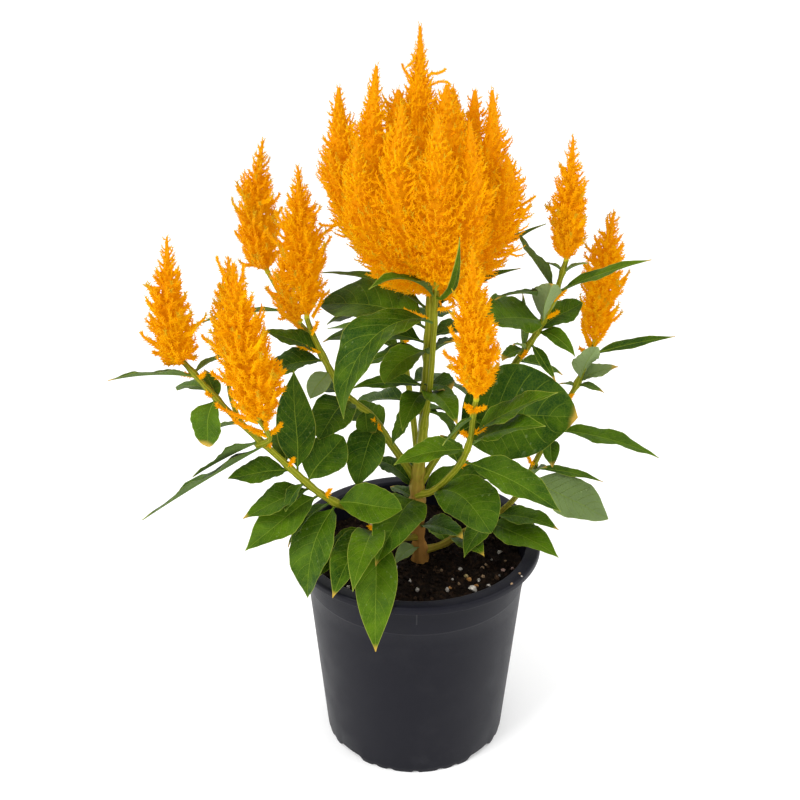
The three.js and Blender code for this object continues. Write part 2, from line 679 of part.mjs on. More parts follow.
function addPiece(name, solid, color, roughness) {
  const material = new THREE.MeshStandardMaterial({ color, roughness, metalness: 0 });
  const mesh = new THREE.Mesh(geometryOf(solid), material);
  mesh.name = name;
  plant.add(mesh);
}

addPiece('pot', pot(), 0x2f2e33, 0.55);
addPiece('soil', soil(), 0x1d1411, 0.95);
for (const [name, { color }] of Object.entries(BRANCHES)) addPiece(name, branch(name), color, 0.5);
addPiece('plume_main', mainPlume(), 0xe08a05, 0.8);
Object.entries(SIDE_PLUMES).forEach(([name, row], k) => addPiece(name, sidePlume(row, k + 1), 0xe89008, 0.8));

export default plant;
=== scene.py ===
"""A plume celosia in flower, in the black nursery pot that it was grown in."""

from math import radians

import bpy
import numpy as np
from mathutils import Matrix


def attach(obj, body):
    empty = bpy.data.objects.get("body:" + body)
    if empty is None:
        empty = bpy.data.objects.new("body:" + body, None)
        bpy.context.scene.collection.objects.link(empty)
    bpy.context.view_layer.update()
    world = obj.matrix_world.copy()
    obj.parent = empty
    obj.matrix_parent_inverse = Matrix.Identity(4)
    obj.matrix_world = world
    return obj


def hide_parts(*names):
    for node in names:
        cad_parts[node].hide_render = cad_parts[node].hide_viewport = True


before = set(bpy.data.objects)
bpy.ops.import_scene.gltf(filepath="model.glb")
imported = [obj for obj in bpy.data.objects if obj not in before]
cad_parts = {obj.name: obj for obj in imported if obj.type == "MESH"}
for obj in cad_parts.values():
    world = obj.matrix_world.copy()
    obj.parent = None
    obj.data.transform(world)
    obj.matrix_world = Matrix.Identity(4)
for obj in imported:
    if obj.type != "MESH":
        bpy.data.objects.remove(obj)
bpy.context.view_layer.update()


# ---- Pot --------------------------------------------------------------------------------------
# A tapered nursery pot, moulded in one shot from black polypropylene: a thin wall, a rim that
# turns over into a short lip, a stacking step under it, and a foot ring with drain slots and
# scallops along its bottom edge. The mould leaves a fine grain and one parting line at the front.

MM = 0.001
POT_HEIGHT = 148
POT_RIM_RADIUS = 82.5
POT_FOOT_RADIUS = 61.3
POT_SHOULDER_RADIUS = 74
POT_SHOULDER_HEIGHT = 142
POT_WALL = 1.6
POT_FLOOR_HEIGHT = 3.2
FOOT_RING = 2.7
STACKING_STEP_HEIGHT = 121
STACKING_STEP = 0.5
# The outline: the heights where the walls are drawn, the rounds of the lip and rim, and the hollow
# under the lip and the top of the rim as points of radius and height.
OUTER_HEIGHTS = (4, 20, 50, 80, 110, 120.4, 120.9, 121.4, 122, 133)
INNER_HEIGHTS = (140, 133, 100, 50)
LIP_BOTTOM, LIP_ROUND, RIM_ROUND, INNER_ROUND = 143.6, 0.4, 1.9, 2.1
LIP_HOLLOW = [(78, 145.7), (80.4, 145.5), (80.9, 144.9), (81, LIP_BOTTOM)]
RIM_TOP = [(78.5, 148.05), (76.5, 147.9)]
POT_COLUMNS = 288
DRAIN_SLOTS = (46, 134, 226, 314)
SLOT_BOTTOM, SLOT_TOP, SLOT_HEIGHT = 24, 16, 3.1
SCALLOPS = (-26, -16, 0, 16, 26)
SCALLOP_RADIUS, SCALLOP_RISE = 3.6, 1.2
DRAIN_HOLES, DRAIN_HOLE_RADIUS, DRAIN_HOLE_CIRCLE = 6, 4.5, 40
POT_BLACK = (0.0042, 0.0042, 0.0085)
POT_SCUFF = (0.055, 0.055, 0.06)


class Field:
    """A socket in a material's node tree. Sums, products and powers of fields add Math nodes."""

    def __init__(self, tree, socket=None):
        self.tree = tree
        self.socket = socket

    def node(self, kind, settings=None, sockets=None, output=0):
        """A new node: its settings are set first, then its sockets are given values or links."""
        made = self.tree.nodes.new(kind)
        for name, value in (settings or {}).items():
            if name == "stops":
                ramp = made.color_ramp
                while len(ramp.elements) < len(value):
                    ramp.elements.new(0.5)
                for stop, (place, colour) in zip(ramp.elements, value):
                    stop.position = place
                    stop.color = (*colour, 1)
            else:
                setattr(made, name, value)
        for name, value in (sockets or {}).items():
            if isinstance(value, Field):
                self.tree.links.new(value.socket, made.inputs[name])
            elif isinstance(value, tuple) and len(value) == 3 and made.inputs[name].type == "RGBA":
                made.inputs[name].default_value = (*value, 1)
            else:
                made.inputs[name].default_value = value
        return Field(self.tree, made.outputs[output])

    def math(self, operation, *others):
        """A Math node on this field and the others."""
        values = (self, *others)
        return self.node("ShaderNodeMath", {"operation": operation}, dict(enumerate(values)))

    def __add__(self, other):
        return self.math("ADD", other)

    __radd__ = __add__

    def __mul__(self, other):
        return self.math("MULTIPLY", other)

    __rmul__ = __mul__

    def __sub__(self, other):
        return self.math("SUBTRACT", other)

    def __rsub__(self, other):
        return self * -1 + other

    def __truediv__(self, other):
        return self.math("DIVIDE", other)

    def __pow__(self, other):
        return self.math("POWER", other)

    def step(self, low, high):
        """0 below low, 1 above high, smooth between them."""
        sockets = {"Value": self, "From Min": low, "From Max": high}
        return self.node("ShaderNodeMapRange", {"interpolation_type": "SMOOTHSTEP"}, sockets)

    def between(self, first, second):
        """The colour that goes from the first to the second as this field goes from 0 to 1."""
        return self.node(
            "ShaderNodeMix", {"data_type": "RGBA"}, {0: self, 6: first, 7: second}, output=2
        )

    def noise(self, scale, detail=2.0, roughness=0.5):
        """Noise over this field's coordinates, from about 0 to 1."""
        sockets = {"Vector": self, "Scale": scale, "Detail": detail, "Roughness": roughness}
        return self.node("ShaderNodeTexNoise", {}, sockets)

    def at_most_one(self):
        """This field, or 1 where it is more."""
        return self.math("MINIMUM", 1.0)

    def place(self):
        """The place on the piece, in its own coordinates."""
        return self.node("ShaderNodeTexCoord", output=3)

    def mark(self, name):
        """The number that the piece's points carry under this name."""
        return self.node("ShaderNodeAttribute", {"attribute_name": name}, output=2)

    def bump(self, strength, depth):
        """The normal of a surface whose relief is this field, with the depth in metres."""
        sockets = {"Strength": strength, "Distance": depth, "Height": self}
        return self.node("ShaderNodeBump", {}, sockets)


def finish(name, paint):
    """A material whose Principled shader gets what paint(start) returns: a dict of its sockets."""
    material = bpy.data.materials.new(name)
    material.use_nodes = True
    start = Field(material.node_tree)
    shader = material.node_tree.nodes["Principled BSDF"]
    for socket, value in paint(start).items():
        if isinstance(value, Field):
            material.node_tree.links.new(value.socket, shader.inputs[socket])
        elif isinstance(value, tuple) and len(value) == 3 and socket.endswith("Color"):
            shader.inputs[socket].default_value = (*value, 1)
        else:
            shader.inputs[socket].default_value = value
    return material


def grid(rows, columns, around=False, first=0):
    """Quads over points numbered row by row; around also joins the last column to the first."""
    row, column = np.meshgrid(
        np.arange(rows - 1), np.arange(columns if around else columns - 1), indexing="ij"
    )
    after = (column + 1) % columns
    corners = (row * columns + column, row * columns + after,
               (row + 1) * columns + after, (row + 1) * columns + column)
    return first + np.stack(corners, axis=-1).reshape(-1, 4)


def fan(centre, ring, turned=False):
    """Triangles from one point to a closed ring of points; turned makes them face the other way."""
    after = np.roll(ring, -1)
    pair = (after, ring) if turned else (ring, after)
    return np.stack((np.full(len(ring), centre), *pair), axis=-1)


def make(name, points, faces, material, nodes, sharp=40, marks=None):
    """
    A piece from points in millimetres and a list of arrays of faces. Marks holds one number for
    each point under each name, and edges sharper than so many degrees stay sharp.
    """
    mesh = bpy.data.meshes.new(name)
    corners = np.concatenate([part.ravel() for part in faces]).astype(np.int32)
    sizes = np.concatenate([np.full(len(part), part.shape[1]) for part in faces])
    starts = (np.cumsum(sizes) - sizes).astype(np.int32)
    mesh.vertices.add(len(points))
    mesh.vertices.foreach_set("co", (np.asarray(points) * MM).astype(np.float32).ravel())
    mesh.loops.add(len(corners))
    mesh.loops.foreach_set("vertex_index", corners)
    mesh.polygons.add(len(sizes))
    mesh.polygons.foreach_set("loop_start", starts)
    for mark, values in (marks or {}).items():
        layer = mesh.attributes.new(mark, "FLOAT", "POINT")
        layer.data.foreach_set("value", np.asarray(values, dtype=np.float32))
    mesh.update(calc_edges=True)
    mesh.validate()
    if sharp is None:
        mesh.shade_flat()
    else:
        mesh.shade_smooth()
        mesh.set_sharp_from_angle(angle=radians(sharp))
    mesh.materials.append(material)
    piece = bpy.data.objects.new(name, mesh)
    bpy.context.collection.objects.link(piece)
    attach(piece, "root")
    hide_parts(*nodes)
    return piece


def pot_outside(z):
    """Radius of the pot's outer wall: a straight taper, and a step at the stacking height."""
    slope = (POT_SHOULDER_RADIUS - POT_FOOT_RADIUS) / POT_SHOULDER_HEIGHT
    step = np.clip(z - STACKING_STEP_HEIGHT + 0.5, 0, 1) * STACKING_STEP
    return POT_FOOT_RADIUS + slope * z + step


def pot_inside(z):
    """Radius of its inner wall, which tapers without a step."""
    return pot_outside(z) - POT_WALL - (STACKING_STEP if z > STACKING_STEP_HEIGHT else 0)


def corner(centre, radius, start, end, count):
    """Points along an arc of a profile, from one heading to another in degrees."""
    turn = np.radians(np.linspace(start, end, count))
    return [(centre[0] + radius * np.cos(a), centre[1] + radius * np.sin(a)) for a in turn]


def foot_edge(heading):
    """
    How far the bottom edge is cut away at each heading: the highest of the trapezium of each
    drain slot and the arc of each scallop.
    """
    edge = np.zeros_like(heading)
    for slot in DRAIN_SLOTS:
        off = np.abs((heading - slot + 180) % 360 - 180) * np.pi / 180 * POT_FOOT_RADIUS
        share = np.clip((SLOT_BOTTOM / 2 - off) / ((SLOT_BOTTOM - SLOT_TOP) / 2), 0, 1)
        edge = np.maximum(edge, SLOT_HEIGHT * share)
    for foot in (0, 90, 180, 270):
        for place in SCALLOPS:
            off = np.abs((heading - foot - place + 180) % 360 - 180) * np.pi / 180 * POT_FOOT_RADIUS
            arc = np.sqrt(np.maximum(SCALLOP_RADIUS**2 - off**2, 0)) + SCALLOP_RISE - SCALLOP_RADIUS
            edge = np.maximum(edge, arc)
    return edge


def pot_surface():
    """
    The pot as a profile turned about Z. Each profile point is a radius and a height, and the cut in
    the bottom edge lifts the points of the foot ring's underside at each heading.
    """
    floor_top = POT_FLOOR_HEIGHT + POT_WALL
    inner = POT_FOOT_RADIUS - FOOT_RING
    foot = [(inner, 0.3), (inner + 0.3, 0), (POT_FOOT_RADIUS - 0.4, 0), (POT_FOOT_RADIUS, 0.4)]
    wall = [(pot_outside(z), z) for z in OUTER_HEIGHTS]
    wall += [(pot_outside(144.2), 144.2), (pot_outside(145) + 0.5, 145.3)]
    lip = LIP_HOLLOW + corner((POT_RIM_RADIUS - 1.1, LIP_BOTTOM), LIP_ROUND, 180, 270, 4)
    lip += corner((POT_RIM_RADIUS - LIP_ROUND, LIP_BOTTOM), LIP_ROUND, 270, 360, 4)
    rim_centre = (POT_RIM_RADIUS - RIM_ROUND, POT_HEIGHT - RIM_ROUND)
    rim = [(POT_RIM_RADIUS, 145)] + corner(rim_centre, RIM_ROUND, 0, 90, 8)
    rim += RIM_TOP + corner((75, 145.7), INNER_ROUND, 85, 180, 7)
    inside = [(pot_inside(z), z) for z in INNER_HEIGHTS]
    inside += [(pot_inside(floor_top + 2), floor_top + 1.5)]
    inside += [(pot_inside(floor_top) - 1.5, floor_top)]
    profile = [(inner - 0.4, POT_FLOOR_HEIGHT)] + foot + wall + lip + rim + inside
    radius, height = np.array(profile).T
    lifted = np.zeros((len(profile), 1))
    lifted[1 : 1 + len(foot)] = 1
    heading = np.arange(POT_COLUMNS) * 360 / POT_COLUMNS
    turn = np.radians(heading - 90)
    lift = np.minimum(foot_edge(heading), POT_FLOOR_HEIGHT - height[:, None] - 0.05)
    z = height[:, None] + lifted * lift
    ring = radius[:, None] * np.ones_like(turn)[None, :]
    points = np.stack((ring * np.cos(turn), ring * np.sin(turn), z), axis=-1).reshape(-1, 3)
    return points, len(profile), ((radius[0], height[0]), (radius[-1], height[-1]))


def drained_floor(rims):
    """
    The pot's floor, between its lower and its upper outer ring of points, as six pie slices with a
    round hole in each. Points run round the slice's edge, then round the middle, then the hole.
    """
    arc = (np.arange(POT_COLUMNS // DRAIN_HOLES + 1) - POT_COLUMNS / DRAIN_HOLES / 2) * 2 * np.pi
    outer = np.stack((np.cos(arc / POT_COLUMNS), np.sin(arc / POT_COLUMNS)), axis=-1)
    spoke = np.linspace(1, 0, 12)[1:, None]
    loops = [rim * np.concatenate((outer, outer[-1] * spoke, outer[0] * spoke[-2::-1]))
             for rim, _ in rims]
    centre = np.array((DRAIN_HOLE_CIRCLE, 0))
    away = loops[0] - centre
    hole = centre + DRAIN_HOLE_RADIUS * away / np.linalg.norm(away, axis=1)[:, None]
    (_, below), (_, above) = rims
    layers = [(loops[0], below), ((loops[0] + hole) / 2, below), (hole, below),
              (hole, above), ((loops[1] + hole) / 2, above), (loops[1], above)]
    slice_points = np.concatenate([np.column_stack((xy, np.full(len(xy), z))) for xy, z in layers])
    turns = np.arange(DRAIN_HOLES) * 2 * np.pi / DRAIN_HOLES
    spins = [np.array([(np.cos(a), np.sin(a), 0), (-np.sin(a), np.cos(a), 0), (0, 0, 1)])
             for a in turns]
    spun = [slice_points @ spin for spin in spins]
    skin = grid(len(layers), len(loops[0]), around=True)[:, ::-1]
    return np.concatenate(spun), [skin + k * len(slice_points) for k in range(DRAIN_HOLES)]


def welded(points, faces):
    """Points that lie in the same place made one, and the faces numbered to match."""
    _, first, which = np.unique(np.round(points, 3), axis=0, return_index=True, return_inverse=True)
    return points[first], [which.ravel()[part] for part in faces]


def pot_paint(start):
    """Black, greyed by grain, scuffs that run up the wall, dust at the foot and a mould line."""
    place = start.place()
    x, y, z = (place.node("ShaderNodeSeparateXYZ", {}, {0: place}, output=i) for i in range(3))
    grain = place.noise(2600, 3, 0.6)
    stretched = place.node("ShaderNodeMapping", {}, {"Vector": place, "Scale": (1, 1, 0.12)})
    scuffs = stretched.noise(170, 5, 0.7).step(0.66, 0.8)
    dust = place.noise(38, 4, 0.6).step(0.5, 0.85)
    near_foot = z.step(0.022, 0.0)
    line = (1 - (x * x).math("SQRT").step(0.0002, 0.0006)) * z.step(0.1295, 0.1305)
    line = line * (1 - y.step(-0.02, -0.01)) * (1 - z.step(0.1435, 0.144))
    pale = scuffs * 0.35 + dust * (near_foot * 0.5 + 0.12) + grain.step(0.55, 0.75) * 0.12
    colour = (pale + line * 0.35).at_most_one().between(POT_BLACK, POT_SCUFF)
    height = grain * 0.5 + scuffs * 0.8 + line * 2
    bump = height.bump(0.8, 0.00015)
    roughness = place.noise(60, 3) * 0.14 + dust * 0.12 + 0.36
    return {"Base Color": colour, "Roughness": roughness, "Normal": bump,
            "Specular IOR Level": 0.14}


def build_pot():
    """The turned shell and the drained floor, joined where their rings meet."""
    points, rows, rims = pot_surface()
    floor_points, floor_faces = drained_floor(rims)
    faces = [grid(rows, POT_COLUMNS, around=True)] + [part + len(points) for part in floor_faces]
    points, faces = welded(np.concatenate((points, floor_points)), faces)
    make("pot_shell", points, faces, finish("pot_plastic", pot_paint), ["pot"])


build_pot()


# ---- Soil -------------------------------------------------------------------------------------
# Damp potting mix that fills the pot to a thumb's width below its rim: dark peat, crumbs of it
# and of composted bark, and a scatter of perlite and other grit, some of it stained by the water.

SOIL_HEIGHT = 130
SOIL_BOTTOM = 5.1
PEAT_DARK = (0.0055, 0.0032, 0.002)
PEAT_LIGHT = (0.055, 0.03, 0.016)
SOIL_RINGS, SOIL_COLUMNS, SOIL_GAP = 64, 160, 0.25
CRUMBS = 1500
CRUMB_RADIUS = (0.5, 2.1)
GRIT = [
    (17, -16, 1.6, "tan"), (30, -11, 1.5, "white"), (33, -20, 1.8, "yellow"),
    (35, -25, 1.9, "orange"), (37, -37, 2.6, "white"), (39, -35, 1.9, "orange"),
    (20, -38, 2.0, "white"), (22, -36, 1.4, "orange"), (41, -27, 1.5, "white"),
    (44, -24, 1.7, "tan"), (55, -20, 1.6, "grey"), (47, -8, 1.3, "tan"), (44, -13, 1.3, "tan"),
    (57, 7, 1.4, "white"), (58, -13, 1.5, "pink"), (64, -11, 1.6, "pink"), (47, -33, 1.3, "white"),
    (-13, -13, 1.3, "white"), (1, -37, 1.6, "white"), (-4, -25, 1.4, "white"),
    (51, -2, 1.2, "white"), (28, -30, 1.2, "tan"), (60, -3, 1.2, "tan"), (24, -24, 1.1, "white"),
    (-30, 40, 1.8, "white"), (12, 48, 1.7, "white"), (-52, 12, 1.5, "tan"),
    (-20, 58, 1.4, "orange"), (40, 44, 1.9, "white"), (-44, -34, 1.6, "white"),
    (-8, 30, 1.3, "pink"), (30, 30, 1.2, "tan"),
]
RIM_GRIT = [(65, -45, 1.0, "tan"), (66.2, -48.3, 0.8, "white"), (59.2, -56.2, 0.7, "tan")]
GRIT_COLOURS = {
    "white": (0.62, 0.57, 0.5), "tan": (0.3, 0.19, 0.1), "yellow": (0.5, 0.38, 0.15),
    "orange": (0.48, 0.22, 0.05), "grey": (0.26, 0.24, 0.22), "pink": (0.36, 0.22, 0.18),
}


def ripples(x, y, rng, waves, longest, shortest):
    """A sum of sine waves in random directions, whose height falls with their length."""
    length = np.exp(rng.uniform(np.log(shortest), np.log(longest), waves))
    heading, phase = rng.uniform(0, 2 * np.pi, (2, waves))
    along = x[..., None] * np.cos(heading) + y[..., None] * np.sin(heading)
    waves_at = np.sin(2 * np.pi * along / length + phase) * length / longest
    return waves_at.sum(axis=-1) / np.sqrt(waves)


def soil_top(x, y):
    """Height of the soil's surface: ripples of every size, kept within the relief of the mix."""
    rng = np.random.default_rng(4)
    relief = 1.6 * ripples(x, y, rng, 26, 30, 8) + 0.9 * ripples(x, y, rng, 40, 8, 2.2)
    return SOIL_HEIGHT + np.clip(relief, -1.5, 1.5)


def soil_paint(start):
    """Dark peat with paler crumbs in it, by a coarse and a fine noise."""
    place = start.place()
    coarse = place.noise(260, 4, 0.65)
    fine = place.noise(1300, 4, 0.7)
    light = coarse.step(0.45, 0.75) * 0.55 + fine.step(0.5, 0.78) * 0.5
    colour = light.at_most_one().between(PEAT_DARK, PEAT_LIGHT)
    bump = (fine + coarse).bump(0.9, 0.0009)
    return {"Base Color": colour, "Roughness": fine * 0.2 + 0.72, "Normal": bump,
            "Specular IOR Level": 0.06}


def soil_wall(z):
    """Radius of the soil against the pot's inner wall."""
    return pot_inside(z) - SOIL_GAP


def build_soil(material):
    """
    The soil's side as rings up the pot's wall, then its rippled top as rings whose radius falls as
    the square root of an even run, and a point at the middle of its top and of its bottom.
    """
    share = np.sqrt(np.linspace(1, 0.0004, SOIL_RINGS))
    turn = np.arange(SOIL_COLUMNS) * 2 * np.pi / SOIL_COLUMNS
    radius = (soil_wall(SOIL_HEIGHT) - 0.4) * share[:, None] * np.ones(SOIL_COLUMNS)
    x, y = radius * np.cos(turn), radius * np.sin(turn)
    top = np.stack((x, y, soil_top(x, y)), axis=-1)
    foot = soil_wall(SOIL_BOTTOM)
    sides = [(foot - 3, SOIL_BOTTOM), (foot - 1.5, SOIL_BOTTOM + 2), (soil_wall(60), 60),
             (soil_wall(126), 126)]
    below = np.array([(r * np.cos(turn), r * np.sin(turn), z + 0 * turn) for r, z in sides])
    points = np.concatenate((below.transpose(0, 2, 1), top)).reshape(-1, 3)
    rows = len(sides) + len(share)
    around = np.arange(SOIL_COLUMNS)
    faces = [grid(rows, SOIL_COLUMNS, around=True), fan(len(points), around, turned=True),
             fan(len(points) + 1, (rows - 1) * SOIL_COLUMNS + around)]
    middle = float(soil_top(np.zeros(1), np.zeros(1))[0])
    points = np.concatenate((points, [(0, 0, SOIL_BOTTOM), (0, 0, middle)]))
    make("soil_body", points, faces, material, ["soil"], sharp=80)


def pebbles(centres, radii, rng, roughness=0.28):
    """
    Rough pebbles: each is an icosahedron whose twelve corners are pushed in and out at random,
    squeezed along each axis at random and turned at random.
    """
    golden = (1 + 5**0.5) / 2
    ring = np.array([(-1, golden, 0), (1, golden, 0), (-1, -golden, 0), (1, -golden, 0)])
    ball = np.concatenate((ring, np.roll(ring, 1, axis=1), np.roll(ring, 2, axis=1))) / 1.9
    spans = np.linalg.norm(ball[:, None] - ball[None], axis=-1)
    near = (spans < 1.3) & (spans > 0)
    trios = [(a, b, c) for a in range(12) for b in range(a + 1, 12) for c in range(b + 1, 12)
             if near[a, b] and near[b, c] and near[a, c]]
    outward = [np.dot(np.cross(ball[b] - ball[a], ball[c] - ball[a]), ball[a]) > 0
               for a, b, c in trios]
    skin = np.array([t if out else t[::-1] for t, out in zip(trios, outward)])
    count = len(centres)
    push = rng.uniform(1 - roughness, 1 + roughness, (count, 12, 1))
    squeeze = rng.uniform(0.65, 1.15, (count, 1, 3))
    axes, _ = np.linalg.qr(rng.normal(size=(count, 3, 3)))
    axes *= np.sign(np.linalg.det(axes))[:, None, None]
    shape = np.einsum("nij,nkj->nki", axes, ball * push * squeeze)
    points = np.asarray(centres)[:, None] + shape * np.asarray(radii)[:, None, None]
    faces = (skin[None] + 12 * np.arange(count)[:, None, None]).reshape(-1, 3)
    return points.reshape(-1, 3), faces


def crumb_paint(start):
    """Peat, or a shade of bark that goes by the crumb's own tone."""
    place = start.place()
    tone = start.mark("tone")
    fine = place.noise(1700, 4, 0.7)
    stops = [(0, PEAT_DARK), (0.6, (0.016, 0.0095, 0.007)), (0.85, (0.06, 0.033, 0.019)),
             (1, (0.13, 0.075, 0.04))]
    bark = tone.node("ShaderNodeValToRGB", {"stops": stops}, {0: tone})
    colour = fine.step(0.35, 0.7).between(PEAT_DARK, bark)
    bump = fine.bump(0.8, 0.0004)
    return {"Base Color": colour, "Roughness": fine * 0.2 + 0.7, "Normal": bump,
            "Specular IOR Level": 0.06}


def build_crumbs():
    """Crumbs spread evenly, mostly small, each centred a quarter of its radius above the soil."""
    rng = np.random.default_rng(9)
    reach = (pot_inside(SOIL_HEIGHT) - 2.5) * np.sqrt(rng.uniform(0, 1, CRUMBS))
    turn = rng.uniform(0, 2 * np.pi, CRUMBS)
    x, y = reach * np.cos(turn), reach * np.sin(turn)
    radii = CRUMB_RADIUS[0] + (CRUMB_RADIUS[1] - CRUMB_RADIUS[0]) * rng.uniform(0, 1, CRUMBS) ** 2.6
    centres = np.stack((x, y, soil_top(x, y) + 0.25 * radii), axis=-1)
    points, faces = pebbles(centres, radii, rng, 0.35)
    marks = {"tone": np.repeat(rng.uniform(0, 1, CRUMBS), 12)}
    crumbs = finish("crumbs", crumb_paint)
    make("soil_crumbs", points, [faces], crumbs, ["soil"], sharp=30, marks=marks)


def grit_paint(colour):
    """What paints grit of one colour, stained in patches by the water."""
    def paint(start):
        place = start.place()
        stain = place.noise(800, 4, 0.6).step(0.4, 0.65)
        tint = (stain * 0.85).between(colour, tuple(0.2 * c for c in colour))
        bump = place.noise(1900, 3).bump(0.5, 0.0003)
        return {"Base Color": tint, "Roughness": stain * 0.1 + 0.75, "Normal": bump}
    return paint


def build_grit():
    """The grit of each colour, lying on the soil and on the pot's rim."""
    rng = np.random.default_rng(12)
    for name, colour in GRIT_COLOURS.items():
        lying = [(x, y, float(soil_top(np.array([x]), np.array([y]))[0]) + 0.35 * r, r)
                 for x, y, r, tint in GRIT if tint == name]
        lying += [(x, y, POT_HEIGHT + 0.55 * r, r) for x, y, r, tint in RIM_GRIT if tint == name]
        spots = np.array(lying)
        points, faces = pebbles(spots[:, :3], spots[:, 3], rng, 0.36)
        paint = finish(f"grit_{name}", grit_paint(colour))
        make(f"grit_{name}", points, [faces], paint, ["soil"], sharp=50)


build_soil(finish("potting_mix", soil_paint))
build_crumbs()
build_grit()


# ---- Stems ------------------------------------------------------------------------------------
# Fleshy stems, ridged along their length, thickened a little where a leaf or a branch leaves
# them: tan and corky at the soil, yellow-green with paler stripes above. Every branch grows out
# of the trunk, and the plumes stand on the ends.

STEMS = {
    "trunk": (
        [(5, 0, 108), (2, 0, 150), (1, 0, 187), (4, 0, 220), (6, 1, 255), (8, 4, 300), (8, 5, 322)],
        [4.4, 4.1, 4.6, 3.3, 3.0, 2.7, 2.4],
    ),
    "fore_shoot": (
        [(4, -1, 230), (8, -12, 262), (10, -16, 300), (11, -18, 330)],
        [1.9, 1.6],
    ),
    "low_shoot": (
        [(1, -1, 148), (-13, -22, 160), (-27, -36, 175)],
        [1.9, 1.4],
    ),
    "left": (
        [(1, -2, 168), (-14, -13, 172), (-30, -25, 180), (-57, -42, 203), (-88, -50, 240),
         (-112, -52, 268), (-135, -50, 297)],
        [2.5, 1.6],
    ),
    "left_fore": (
        [(-95, -50, 243), (-87, -57, 250), (-88, -63, 260), (-92, -65, 268)],
        [1.7, 1.5],
    ),
    "left_rear": (
        [(-105, -48, 257), (-111, -36, 267), (-114, -22, 273), (-115, -15, 281)],
        [1.4, 1.3],
    ),
    "rear_left": (
        [(0, 3, 190), (-19, 3, 220), (-29, 5, 235), (-42, 8, 245), (-50, 8, 256), (-59, 10, 275),
         (-65, 10, 290), (-68, 10, 300)],
        [2.6, 1.6],
    ),
    "rear_left_side": (
        [(-58, 9, 272), (-68, 20, 285), (-80, 34, 294), (-95, 48, 316)],
        [1.7, 1.3],
    ),
    "front": (
        [(1, -2, 181), (12, -10, 189), (26, -35, 221), (31, -52, 247), (32, -63, 271),
         (33, -68, 282)],
        [2.3, 1.5],
    ),
    "right": (
        [(3, 2, 188), (22, 10, 215), (48, 22, 242), (66, 25, 266), (77, 23, 286), (85, 19, 309),
         (91, 15, 336)],
        [2.4, 1.5],
    ),
    "far_right": (
        [(4, 1, 136), (18, 5, 138), (31, 10, 144), (43, 12, 149), (57, 16, 157), (70, 22, 169),
         (84, 30, 196), (100, 38, 228), (107, 41, 241), (117, 45, 268)],
        [2.4, 1.5],
    ),
    "far_right_bud": (
        [(57, 16, 157), (66, 10, 172), (73, 5, 186), (78, 0, 202)],
        [1.4, 1.1],
    ),
    "rear": (
        [(2, 4, 196), (-2, 28, 225), (-8, 52, 262), (-12, 68, 300), (-14, 75, 330)],
        [2.2, 1.5],
    ),
}
BRANCHES = {
    "main_stem": ("trunk", "fore_shoot", "low_shoot"),
    "branch_left": ("left", "left_fore", "left_rear"),
    "branch_rear_left": ("rear_left", "rear_left_side"),
    "branch_front": ("front",),
    "branch_right": ("right",),
    "branch_far_right": ("far_right", "far_right_bud"),
    "branch_rear": ("rear",),
}
STEM_SIDES, STEM_RING_SPACING, STEM_RIBS, RIB_DEPTH = 20, 2.2, 7, 0.05
# How much a stem swells, and over what length: at each leaf in millimetres, then as a share of its
# girth at the trunk's collar in the soil and at the root of a branch.
AXIL_SWELL, AXIL_LENGTH = 0.42, 2.4
COLLAR_SWELL, COLLAR_LENGTH = 0.3, 9
ROOT_SWELL, ROOT_LENGTH = 0.35, 7
# The height where the trunk's knobs and its cork end, and how far below it they are full.
KNOB_TOP, KNOB_FADE, KNOB_DEPTH = 225, 60, 0.07
CORK_TOP, CORK_FADE, BRANCH_CORK = 240, 95, 0.45
STEM_GREEN = (0.19, 0.215, 0.006)
STEM_STRIPE = (0.35, 0.345, 0.03)
STEM_CORK = (0.33, 0.16, 0.035)


def unit(vectors):
    """Vectors divided by their own lengths."""
    return vectors / np.linalg.norm(vectors, axis=-1, keepdims=True)


def along(points, shares):
    """
    Points and directions of the uniform Catmull-Rom curve through points, whose ends are carried
    on in a straight line; a share of 1 is the last point.
    """
    held = np.asarray(points, dtype=float)
    held = np.concatenate(([2 * held[0] - held[1]], held, [2 * held[-1] - held[-2]]))
    place = np.clip(np.asarray(shares, dtype=float), 0, 1) * (len(points) - 1)
    low = np.minimum(place.astype(int), len(points) - 2)
    t = (place - low)[:, None]
    a, b, c, d = (held[low + k] for k in range(4))
    spot = 0.5 * (2 * b + (c - a) * t + (2 * a - 5 * b + 4 * c - d) * t**2
                  + (3 * b - a - 3 * c + d) * t**3)
    heading = 0.5 * (c - a + 2 * (2 * a - 5 * b + 4 * c - d) * t
                     + 3 * (3 * b - a - 3 * c + d) * t**2)
    return spot, unit(heading)


def by_length(points, lengths):
    """The curve's own shares that lie at these shares of its length."""
    shares = np.linspace(0, 1, 400)
    spots, _ = along(points, shares)
    run = np.concatenate(([0], np.cumsum(np.linalg.norm(np.diff(spots, axis=0), axis=1))))
    return np.interp(lengths, run / run[-1], shares), run[-1]


def across(direction):
    """Two unit vectors across each direction, the first of them level across the Y axis."""
    side = unit(np.cross(direction, (0.0, 1.0, 0.0)))
    return side, np.cross(direction, side)


def circles(direction, sides):
    """For each direction, unit vectors round it: the cosine of one across and sine of the other."""
    side, other = across(direction)
    turn = np.arange(sides) * 2 * np.pi / sides
    return (np.cos(turn)[None, :, None] * side[:, None]
            + np.sin(turn)[None, :, None] * other[:, None])


